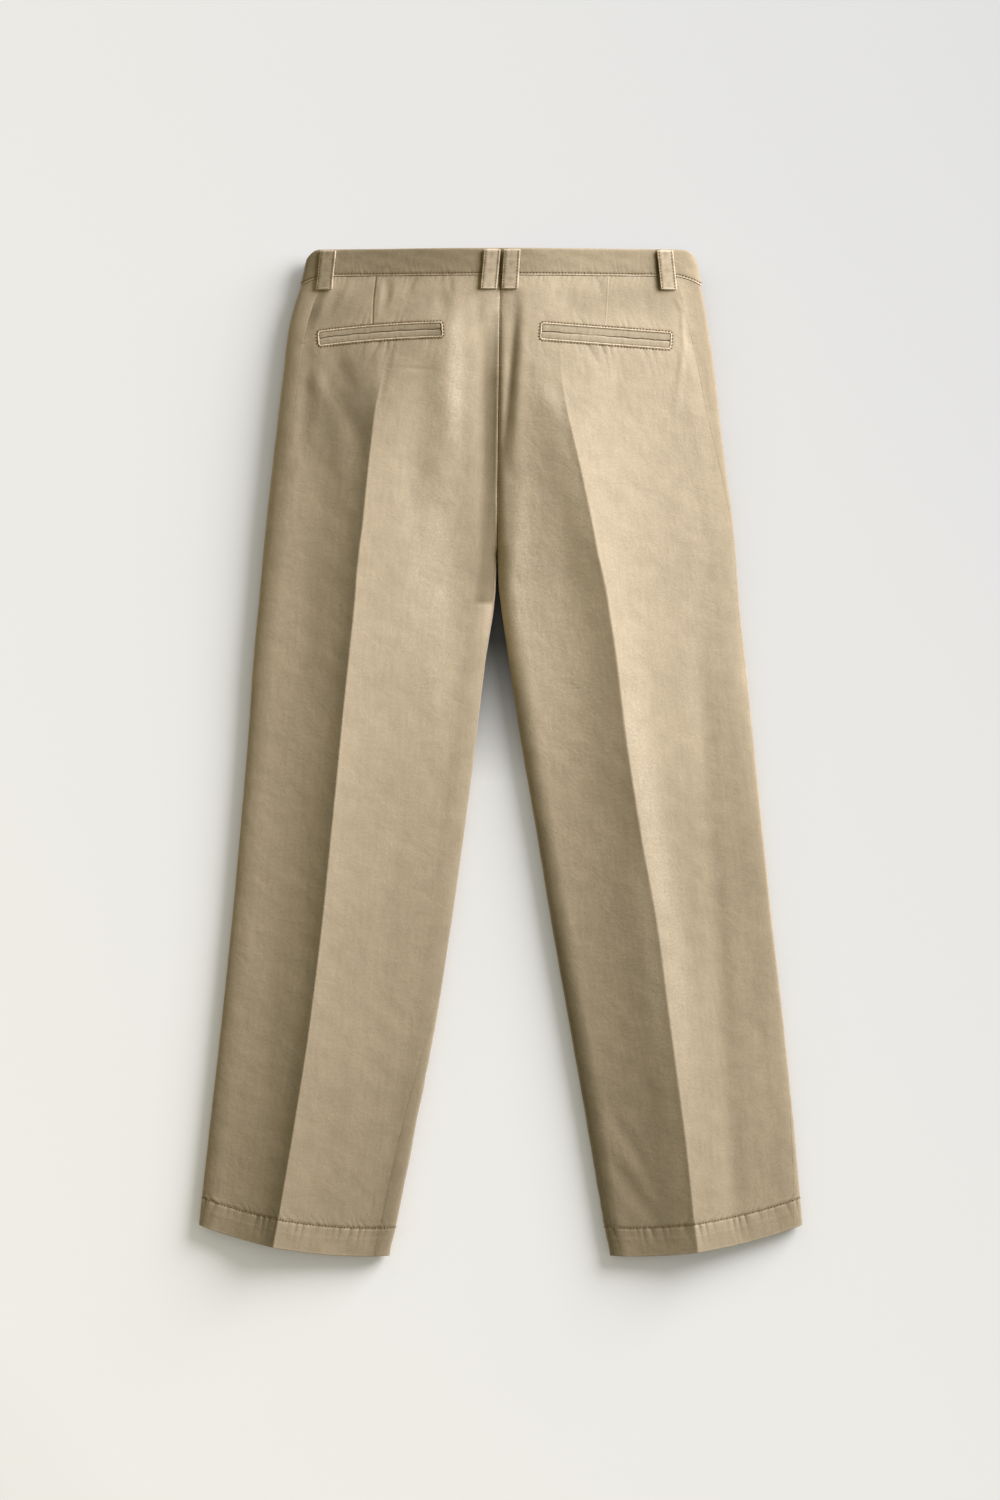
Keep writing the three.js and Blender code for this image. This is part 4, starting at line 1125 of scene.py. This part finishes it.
def hemTurnUp(side):
    wall = form["hemWall"]
    first, last = form["hemDown"] - form["hemDepth"], form["hemDown"] - form["seamGap"]
    downs = np.concatenate([[first], np.linspace(first + 0.4, last - 0.4, 14), [last]])
    dip = np.concatenate([[0.4], np.zeros(14), [0.4]]) * wall
    outward = -form["clothWall"] - form["seamGap"]
    ring = [(down, outward - fall) for down, fall in zip(downs, dip)]
    ring += [(down, outward - wall + fall) for down, fall in zip(downs[::-1], dip[::-1])]
    ring = np.array(ring)
    down = ring[:, 0][None, :]
    section = sectionAt(side, down)
    share = np.linspace(-1, 1, 181)[:-1][:, None]
    around = share * section["width"]
    normal = ringNormal(side, down + 0 * around, around)
    lie = 0.12 * ripples(around, 0 * around + 2, 7.1, 0, 20, 0.12)
    points = ringPoint(section, around) + normal * (ring[:, 1][None, :] + lie)[..., None]
    edge = bell((down - last) / 1.2) + 0 * around
    cloth = np.stack(np.broadcast_arrays(around, down), axis=-1)
    return meshPiece("hemTurnUp" + side, [tubePart(points, {"wearAndHighlight": 0.4 * edge, "cloth": cloth}, True)],
                     [panelCotton])


# Belt loops

loopMake = {
    "width": 16.5,
    "wall": 1.0,
    "arch": 0.3,
    "below": 14,
    "fold": 8,
    "clear": 0.2,
    "stitchIn": 1.9,
    "frontAcross": 118,
}
loopPlaces = {
    "beltLoopSideLeft": ("loop_side_left", "Left", -180, -3, 4),
    "beltLoopMiddleLeft": ("loop_middle_left", "Left", -11.2, -2.6, -3),
    "beltLoopMiddleRight": ("loop_middle_right", "Right", 10.4, -1.6, -4),
    "beltLoopSideRight": ("loop_side_right", "Right", 171.5, 3, -4),
}


# the strap seen from its side, as down and height: folded under at both ends
def loopLine():
    wall = loopMake["wall"]
    bend = wall * 0.7
    low = loopMake["clear"] + wall / 2
    top = bend + wall / 2 + 1
    foot = form["bandDown"] + loopMake["below"] - bend - wall / 2
    angle = np.linspace(-np.pi / 2, np.pi / 2, 11)
    upper = np.stack([top - bend * np.cos(angle), low + bend + bend * np.sin(angle)], -1)
    lower = np.stack([foot + bend * np.cos(angle), low + bend + bend * np.sin(angle)], -1)[::-1]
    t = np.linspace(0, 1, 46)[1:-1]
    over = np.stack([mix(top, foot, t), low + 2 * bend + loopMake["arch"] * np.sin(np.pi * t)], -1)
    start = np.linspace(top + loopMake["fold"], top, 6)[:-1]
    finish = np.linspace(foot, foot - loopMake["fold"], 6)[1:]
    startLine = np.stack([start, np.full(5, low)], -1)
    finishLine = np.stack([finish, np.full(5, low)], -1)
    return np.concatenate([startLine, upper, over, lower, finishLine])


def loopSection():
    half, wall = loopMake["width"] / 2, loopMake["wall"] / 2
    across = np.concatenate([[-half + 0.15], np.linspace(-half + 0.5, half - 0.5, 17), [half - 0.15]])
    thick = np.concatenate([[wall * 0.6], np.full(17, wall), [wall * 0.6]])
    groove = 0.22 * bell((np.abs(across) - half + loopMake["stitchIn"]) / 0.7)
    upper = np.stack([across, thick - groove], -1)
    lower = np.stack([across, -thick], -1)[::-1]
    return np.concatenate([upper, [[half, 0]], lower, [[-half, 0]]])


def loopShape(side, across, lean, turn, line, section):
    angle = math.radians(turn)
    raised = loopMake["width"] / 2 * abs(math.sin(angle))
    forward = unit(np.gradient(line, axis=0))
    outward = np.stack([-forward[:, 1], forward[:, 0]], -1)
    centre = line[:, None, :] + outward[:, None, :] * section[None, :, 1:2]
    down, high = centre[..., 0], centre[..., 1]
    sideways = section[None, :, 0] + 0 * down
    x = across + lean * (down / form["bandDown"] - 1) + sideways * math.cos(angle)
    proud = form["bandProud"] + raised + high + sideways * math.sin(angle)
    place = placeOf(side, x, down)
    return surfaceAt(side, *place, proud)


def beltLoop(name, node, side, across, lean, turn):
    line, section = loopLine(), loopSection()
    points = loopShape(side, across, lean, turn, line, section)
    half = loopMake["width"] / 2
    edge = bell((half - np.abs(section[:, 0])) / 0.85)[None, :]
    foot = bell((line[:, 0] - line[:, 0].max()) / 1.4)[:, None] + bell((line[:, 0] - line[:, 0].min()) / 1.4)[:, None]
    steps = np.arange(len(line))[:, None]
    chafe = 0.25 * (0.5 + 0.5 * np.sin(steps * 0.9 + across))
    wearAndHighlight = 1.9 * edge + 1.1 * foot + chafe * bell((np.abs(section[:, 0]) - 3) / 2)[None, :]
    # painted shade along the stitch lines; the blotches of patch are the loop's own uneven dye
    paintedShade = 0.8 * bell((half - loopMake["stitchIn"] - np.abs(section[:, 0])) / 0.7)[None, :] + 0 * wearAndHighlight
    patch = 0.35 * np.clip(np.sin(steps * 0.33 + across) * np.cos(section[:, 0][None, :] * 0.45), 0, 1)
    cloth = np.stack(np.broadcast_arrays(section[None, :, 0], steps * 1.2), axis=-1)
    part = tubePart(points, {"wearAndHighlight": wearAndHighlight, "paintedShade": paintedShade + patch, "cloth": cloth})
    piece = meshPiece(name, [part], [loopCotton])
    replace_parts(piece, node)
    return piece


# a front loop lies pressed between the band and the surface
def frontLoop(side):
    section = loopSection()
    down = mix(1, form["bandDown"] + loopMake["below"], np.linspace(0, 1, 40))[:, None]
    middle = sectionAt(side, down)["width"] - loopMake["frontAcross"]
    around = -(middle + section[None, :, 0])
    wall = loopMake["wall"]
    proud = form["bandProud"] + form["seamGap"] + wall / 2 + section[None, :, 1] + 0 * around
    points = surfaceAt(side, down + 0 * around, around, proud)
    edge = bell((loopMake["width"] / 2 - np.abs(section[:, 0])) / 0.8)[None, :] + 0 * around
    cloth = np.stack(np.broadcast_arrays(section[None, :, 0], down), axis=-1)
    return meshPiece("frontBeltLoop" + side, [tubePart(points, {"wearAndHighlight": 0.8 * edge, "cloth": cloth})], [loopCotton])


# Pocket lips

def pocketLip(side, upper):
    pocket = pockets[side]
    length = pocketLength(pocket)
    endGap = 1.1 if side == "Left" else 0.5
    along = np.linspace(0.3, length - endGap, 150)[:, None]
    wave = 0.22 * np.sin(2 * np.pi * along / 23 + 1) + 0.14 * np.sin(2 * np.pi * along / 9.5)
    closedUp = bell((along - 52) / 22) if side == "Right" else 0.25 * bell((along - 40) / 25)
    slit = pocketMake["slit"] * (1 - 0.85 * closedUp)
    ring = np.array([
        (0, 0), (0.12, 0), (0.26, 0), (0.4, 0), (0.54, 0), (0.68, 0), (0.8, 0), (0.9, -0.03), (0.96, -0.14),
        (1, -0.42), (0.97, -0.78), (0.85, -1), (0.5, -1), (0.15, -1), (0, -1),
    ])
    across, depth = ring[:, 0][None, :], ring[:, 1][None, :]
    if upper:
        below = mix(-pocket["above"] - 0.55, -slit / 2 + wave, across)
    else:
        below = mix(pocket["below"] + 0.55, slit / 2 + wave, across)
    dimple = ripples(along + 3 * (not upper), 0 * along, 7.8, 0, 9, 0.35 if upper else 0.8)
    puff = 0.3 * np.sin(np.pi * np.clip(across * 1.05, 0, 1)) + 0.16 * dimple * np.sin(np.pi * across)
    proud = -pocketMake["lipSunk"] + puff * (1 + depth) + depth * pocketMake["lipWall"]
    down, around = placeOf(side, *mouthTo(pocket, along + 0 * across, below))
    points = surfaceAt(side, down, around, proud + 0 * down)
    wearAndHighlight = (0.3 * bell((across - 0.9) / 0.09) + 0.16 * np.clip(dimple, 0, 1)) * (1 + depth)
    # painted shade in the dimples, along the border under the rim and at the end of the lip
    paintedShade = (0.4 * np.clip(-dimple, 0, 1) + 1.1 * bell((across - 0.09) / 0.1)) * (1 + depth) + 0.3 * bell(along / 2)
    cloth = np.stack(np.broadcast_arrays(along, below), axis=-1)
    name = "pocketLip" + side + ("Upper" if upper else "Lower")
    return meshPiece(name, [tubePart(points, {"wearAndHighlight": wearAndHighlight, "paintedShade": paintedShade, "cloth": cloth})], [lipCotton])


# Stitches

stitchMake = {
    "pitch": 3.3,
    "length": 2.15,
    "radius": 0.68,
}


# one thread for each step along a line of points, with the surface's normals
def stitchRun(points, normals, pitch=None, slant=0.0, radius=None, closedPath=False):
    pitch = pitch or stitchMake["pitch"]
    radius = radius or stitchMake["radius"]
    if closedPath:
        points = np.concatenate([points, points[:1]])
        normals = np.concatenate([normals, normals[:1]])
    lengths = np.concatenate([[0], np.cumsum(np.linalg.norm(np.diff(points, axis=0), axis=1))])
    count = max(int(lengths[-1] / pitch), 1)
    at = (np.arange(count) + 0.5) * lengths[-1] / count
    sample = lambda values, where: np.stack([np.interp(where, lengths, values[:, k]) for k in range(3)], -1)
    middle = sample(points, at)
    normal = unit(sample(normals, at))
    forward = unit(sample(points, at + 0.4) - sample(points, at - 0.4))
    outward = np.cross(normal, forward)
    forward = unit(forward + outward * slant)
    outward = np.cross(normal, forward)
    half = stitchMake["length"] / 2 * pitch / stitchMake["pitch"]
    rings = [(-0.72, 0.75, -0.35), (0, 1.0, 0.25), (0.72, 0.75, -0.35)]
    verts = [middle - forward * half - normal * radius * 0.9]
    for reach, thick, lift in rings:
        for k in range(5):
            angle = 2 * math.pi * k / 5
            spot = middle + forward * half * reach + outward * radius * thick * math.cos(angle)
            verts.append(spot + normal * radius * (thick * math.sin(angle) + lift))
    verts.append(middle + forward * half - normal * radius * 0.9)
    verts = np.stack(verts, axis=1)
    triangles, quads = [], []
    for k in range(5):
        n = (k + 1) % 5
        triangles += [(0, 1 + n, 1 + k), (16, 11 + k, 11 + n)]
        quads += [(1 + k, 1 + n, 6 + n, 6 + k), (6 + k, 6 + n, 11 + n, 11 + k)]
    base = (np.arange(count) * 17)[:, None, None]
    faces = [(np.array(block)[None] + base).reshape(-1, len(block[0])) for block in (triangles, quads)]
    return {"verts": verts.reshape(-1, 3), "faces": faces, "fields": {}}


def onPanel(side, down, around, proud=0.0):
    down, around = np.broadcast_arrays(np.asarray(down, float), np.asarray(around, float))
    section = sectionAt(side, down)
    points = ringPoint(section, around)
    height = makingRelief(side, section, around, points)[0] * smooth((around + 6) / 10)
    normal = ringNormal(side, down, around)
    return points + normal * (height + proud)[..., None], normal


def bandStitches(side):
    section = sectionAt(side, 14.0)
    around = np.arange(-section["width"] + 2, section["width"] - 1, 1.0)
    down = np.full(len(around), form["bandDown"] - bandMake["stitchUp"])
    return stitchRun(*onPanel(side, down, around, form["bandProud"] + 0.15))


def pocketStitches(side):
    pocket = pockets[side]
    along, below = windowPath(pocket, pocketMake["stitchOut"], 1.0)
    down, around = placeOf(side, *mouthTo(pocket, along, below))
    way = 1 if side == "Left" else -1
    points, normals = onPanel(side, down, around, 0.1)
    return stitchRun(points, normals, slant=0.35 * way, closedPath=True)


def hemStitches(side):
    down = form["hemDown"] - form["hemDepth"]
    width = sectionAt(side, down)["width"]
    around = np.linspace(-width, width, 500)
    return stitchRun(*onPanel(side, np.full(500, down), around, 0.1), slant=0.3)


def seatStitches(side):
    down = np.linspace(44, 300, 300)
    width = sectionAt(side, down)["width"]
    return stitchRun(*onPanel(side, down, width - 2.6, 0.02), radius=0.3)


def dartStitches(side):
    down = np.linspace(30, 78, 60)
    section = sectionAt(side, down)
    around = dartShare(side, section) * section["width"] + 1.5
    return stitchRun(*onPanel(side, down, around, 0.02), pitch=2.4, radius=0.3)


def loopStitches(side, across, lean, turn):
    line = loopLine()[14:-14]
    inset = loopMake["width"] / 2 - loopMake["stitchIn"]
    runs = []
    for place in (-inset, inset):
        spots = np.array([[place - 0.01, loopMake["wall"] / 2 - 0.1], [place + 0.01, loopMake["wall"] / 2 - 0.1]])
        points = loopShape(side, across, lean, turn, line, spots)
        lifted = loopShape(side, across, lean, turn, line, spots + np.array([0, 1]))
        runs.append(stitchRun(points[:, 0], unit(lifted - points)[:, 0], pitch=3.0, radius=0.6))
    return runs


# Fly

flyMake = {"zipHalf": 14, "zipLength": 150, "from": -26, "to": 22, "shieldLength": 172,
           "zipWall": 0.9, "shieldWall": 1.0, "sliderWall": 1.6}


def flyStrip(name, node, length, reach, inside, wall, material):
    down = np.linspace(30, form["bandDown"] + length, 90)[:, None]
    width = sectionAt("Left", down)["width"]
    ring = [(-1, -0.5)] + [(t, 0) for t in np.linspace(-0.96, 0.96, 13)] + [(1, -0.5)]
    ring += [(t, -1) for t in np.linspace(0.96, -0.96, 9)]
    ring = np.array(ring)
    middle, half = (reach[0] + reach[1]) / 2, (reach[1] - reach[0]) / 2
    around = -width - middle - half * ring[:, 0][None, :]
    lie = 0.12 * np.sin(down / 17) * np.cos(ring[:, 0][None, :] * 2)
    proud = -inside + ring[:, 1][None, :] * wall + lie
    points = surfaceAt("Left", down + 0 * around, around, proud)
    wearAndHighlight = 0.4 * bell((1 - np.abs(ring[:, 0])) / 0.08)[None, :] + 0 * around
    cloth = np.stack(np.broadcast_arrays(around, down), axis=-1)
    piece = meshPiece(name, [tubePart(points, {"wearAndHighlight": wearAndHighlight, "cloth": cloth})], [material])
    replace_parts(piece, node)
    return piece


# Build the pieces

backs, fronts, bands, hems = {}, {}, {}, {}
for side in sides:
    hand = side.lower()
    backs[side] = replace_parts(backPanel(side), "back_" + hand)
    fronts[side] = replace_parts(frontPanel(side), "front_" + hand)
    bands[side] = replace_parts(waistband(side), "waistband_" + hand)
    hems[side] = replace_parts(hemTurnUp(side), "hem_" + hand)
print("panels, waistband and hems made")

lips, flatLoops, loops = {}, {}, {}
for side in sides:
    hand = side.lower()
    for upper in (True, False):
        lip = pocketLip(side, upper)
        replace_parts(lip, f"pocket_{hand}_{'upper' if upper else 'lower'}_lip")
        lips[side, upper] = lip
    flatLoops[side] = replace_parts(frontLoop(side), "loop_front_" + hand)
for name, row in loopPlaces.items():
    loops[name] = beltLoop(name, *row)
print("pocket lips and belt loops made")

for side in sides:
    runs = {
        "bandStitches": [bandStitches(side)],
        "panelStitches": [pocketStitches(side), dartStitches(side)],
        "hemStitches": [hemStitches(side)],
        "loopStitches": [run for row in loopPlaces.values() if row[1] == side for run in loopStitches(*row[1:])],
    }
    if side == "Right":
        runs["panelStitches"].append(seatStitches(side))
    for name, parts in runs.items():
        meshPiece(name + side, parts, [threadCotton])
print("stitches sewn")

sliderInside = form["clothWall"] + form["seamGap"]
zipInside = sliderInside + flyMake["sliderWall"] + form["seamGap"]
shieldInside = zipInside + flyMake["zipWall"] + form["seamGap"]
zipTape = flyStrip("zipTape", "zip_tape", flyMake["zipLength"], (-flyMake["zipHalf"], flyMake["zipHalf"]),
                   zipInside, flyMake["zipWall"], zipCotton)
flyShield = flyStrip("flyShield", "fly_shield", flyMake["shieldLength"], (flyMake["from"], flyMake["to"]),
                     shieldInside, flyMake["shieldWall"], panelCotton)


def hardMaterial(name, colour, metallic, roughness):
    material = bpy.data.materials.new(name)
    material.use_nodes = True
    tree = material.node_tree
    tree.nodes.clear()
    make = nodeMaker(tree)
    place = make("ShaderNodeTexCoord").outputs["Object"]
    cloud = make("ShaderNodeTexNoise", {"Vector": place, "Scale": 700.0, "Detail": 4.0})
    tone = make("ShaderNodeMapRange", {"Value": cloud.outputs[0], "To Min": 0.75, "To Max": 1.2})
    colours = make("ShaderNodeVectorMath", {0: colour[:3]}, operation="SCALE")
    tree.links.new(tone.outputs[0], colours.inputs["Scale"])
    rough = make("ShaderNodeMapRange", {"Value": cloud.outputs[0], "To Min": roughness * 0.8, "To Max": roughness * 1.2})
    bump = make("ShaderNodeBump", {"Strength": 0.2, "Distance": 0.0002, "Height": cloud.outputs[0]})
    shader = make("ShaderNodeBsdfPrincipled")
    shader.inputs["Metallic"].default_value = metallic
    tree.links.new(colours.outputs[0], shader.inputs["Base Color"])
    tree.links.new(rough.outputs[0], shader.inputs["Roughness"])
    tree.links.new(bump.outputs[0], shader.inputs["Normal"])
    output = make("ShaderNodeOutputMaterial")
    tree.links.new(shader.outputs[0], output.inputs["Surface"])
    return material


agedBrass = hardMaterial("agedBrass", (0.36, 0.26, 0.11), 1.0, 0.42)
paleHorn = hardMaterial("paleHorn", (0.2, 0.13, 0.07), 0.0, 0.45)
for node, material in (("zip_slider", agedBrass), ("waist_button", paleHorn)):
    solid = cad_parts[node]
    if not solid.material_slots:
        solid.data.materials.append(material)
    for materialSlot in solid.material_slots:
        materialSlot.material = material
print("fly finished")

# Floor, light and camera

stage = {
    "floor": 24.0,
    "floorDrop": 0.0006,
    "floorPaintedGlow": 0.29,  # painted glow of the floor that lifts its shadows, darkened near the cloth by ambient occlusion as painted contact shadow
    "paintedContactShadowReach": 0.07,
    "paintedLegShadowAcross": (0.04, 0.14),  # painted shadow on the floor between the legs
    "paintedLegShadowAhead": (-0.03, 0.115),
    "paintedLegShadowEnd": (0.25, 0.42),
    "paintedLegShadowMost": 0.87,
    "waistAhead": (0.485, 0.525),
    "floorTone": 0.63,
    "keyPlace": (2.35, 1.72, 1.4),
    "keySize": 2.4,
    "keyPower": 197,
    "keyColour": (0.93, 0.946, 1.0),
    "worldColour": (1.0, 0.92, 0.5, 1),
    "worldStrength": 0.22,
}


def floorMaterial():
    material = bpy.data.materials.new("paleFloor")
    material.use_nodes = True
    tree = material.node_tree
    make = nodeMaker(tree)
    shader = tree.nodes["Principled BSDF"]
    place = make("ShaderNodeTexCoord").outputs["Object"]
    # paler where the key light falls off, so that the floor looks even
    away = make("ShaderNodeVectorMath", {0: place, 1: stage["keyPlace"]}, operation="DISTANCE").outputs["Value"]
    fall = make("ShaderNodeMath", {0: away, 1: -3.0}, operation="POWER")
    keyShare = stage["keyPower"] * stage["keyPlace"][2] / math.pi ** 2
    lit = make("ShaderNodeMath", {0: fall.outputs[0], 1: keyShare, 2: stage["worldStrength"]},
               operation="MULTIPLY_ADD")
    even = make("ShaderNodeMath", {0: stage["floorTone"], 1: lit.outputs[0]}, operation="DIVIDE")
    held = make("ShaderNodeClamp", {"Value": even.outputs[0], "Min": 0.15, "Max": 0.93})
    split = make("ShaderNodeSeparateXYZ", {"Vector": place})
    # painted shadow between the legs: floor colour and glow are darker there
    across = make("ShaderNodeMath", {0: split.outputs["X"]}, operation="ABSOLUTE")
    between = make("ShaderNodeMapRange", {"Value": across.outputs[0], "From Min": stage["paintedLegShadowAcross"][0],
                                          "From Max": stage["paintedLegShadowAcross"][1], "To Min": 1.0, "To Max": 0.0})
    ahead = make("ShaderNodeMapRange", {"Value": split.outputs["Y"], "From Min": stage["paintedLegShadowAhead"][0],
                                        "From Max": stage["paintedLegShadowAhead"][1], "To Max": stage["paintedLegShadowMost"]})
    ending = make("ShaderNodeMapRange", {"Value": split.outputs["Y"], "From Min": stage["paintedLegShadowEnd"][0],
                                         "From Max": stage["paintedLegShadowEnd"][1], "To Min": 1.0, "To Max": 0.0})
    paintedLegShadow = make("ShaderNodeMath", {0: between.outputs[0], 1: ahead.outputs[0]}, operation="MULTIPLY")
    paintedLegShadow = make("ShaderNodeMath", {0: paintedLegShadow.outputs[0], 1: ending.outputs[0]}, operation="MULTIPLY")
    outsideLegShadow = make("ShaderNodeMath", {0: 1.0, 1: paintedLegShadow.outputs[0]}, operation="SUBTRACT")
    legShadowedTone = make("ShaderNodeMath", {0: held.outputs[0], 1: outsideLegShadow.outputs[0]}, operation="MULTIPLY")
    tint = make("ShaderNodeVectorMath", {0: (1.02, 1.0, 0.965)}, operation="SCALE")
    tree.links.new(legShadowedTone.outputs[0], tint.inputs["Scale"])
    # colour of the floor's painted glow
    shader.inputs["Emission Color"].default_value = (0.97, 0.985, 1.04, 1)
    near = make("ShaderNodeAmbientOcclusion", {"Distance": stage["paintedContactShadowReach"]})
    # no painted contact shadow on the floor beyond the waist
    beyondWaist = make("ShaderNodeMapRange", {"Value": split.outputs["Y"], "From Min": stage["waistAhead"][0],
                                            "From Max": stage["waistAhead"][1]})
    hidden = make("ShaderNodeMath", {0: 1.0, 1: near.outputs["AO"]}, operation="SUBTRACT")
    freed = make("ShaderNodeMath", {0: hidden.outputs[0], 1: beyondWaist.outputs[0], 2: near.outputs["AO"]},
                 operation="MULTIPLY_ADD")
    paintedGlow = make("ShaderNodeMath", {0: freed.outputs[0], 1: stage["floorPaintedGlow"]}, operation="MULTIPLY")
    paintedGlow = make("ShaderNodeMath", {0: paintedGlow.outputs[0], 1: outsideLegShadow.outputs[0]}, operation="MULTIPLY")
    tree.links.new(paintedGlow.outputs[0], shader.inputs["Emission Strength"])
    tree.links.new(tint.outputs[0], shader.inputs["Base Color"])
    shader.inputs["Roughness"].default_value = 0.9
    shader.inputs["Specular IOR Level"].default_value = 0.1
    return material


half = stage["floor"] / 2
floorMesh = bpy.data.meshes.new("floor")
corners = [(-half, -half), (half, -half), (half, half), (-half, half)]
floorMesh.from_pydata([(x, y, -stage["floorDrop"]) for x, y in corners], [], [(0, 1, 2, 3)])
floor = bpy.data.objects.new("floor", floorMesh)
floorMesh.materials.append(floorMaterial())
bpy.context.scene.collection.objects.link(floor)

keyData = bpy.data.lights.new("keyLight", "AREA")
keyData.shape = "DISK"
keyData.size = stage["keySize"]
keyData.energy = stage["keyPower"]
keyData.color = stage["keyColour"]
keyLight = bpy.data.objects.new("keyLight", keyData)
keyLight.location = stage["keyPlace"]
aim = Vector((0, 0, 0)) - Vector(stage["keyPlace"])
keyLight.rotation_euler = aim.to_track_quat("-Z", "Y").to_euler()
bpy.context.scene.collection.objects.link(keyLight)

world = bpy.context.scene.world or bpy.data.worlds.new("studio")
bpy.context.scene.world = world
world.use_nodes = True
background = world.node_tree.nodes["Background"]
background.inputs["Color"].default_value = stage["worldColour"]
background.inputs["Strength"].default_value = stage["worldStrength"]
bpy.context.scene.view_settings.view_transform = "Standard"

view = {
    "lens": 180,
    "sensor": 36,
    "pixel": 1.0317,  # mm of the trousers in a pixel of the 1000 by 1500 picture
    "across": -0.77,  # middle of the picture
    "ahead": 3.25,
    "plane": 15,  # height above the floor at which that scale holds
}
cameraData = bpy.data.cameras.new("camera")
cameraData.lens = view["lens"]
cameraData.sensor_fit = "VERTICAL"
cameraData.sensor_height = view["sensor"]
camera = bpy.data.objects.new("camera", cameraData)
distance = 1500 * view["pixel"] * view["lens"] / view["sensor"]
camera.location = (view["across"] / metre, view["ahead"] / metre, (view["plane"] + distance) / metre)
bpy.context.scene.collection.objects.link(camera)
bpy.context.scene.camera = camera
print("floor, light and camera set")
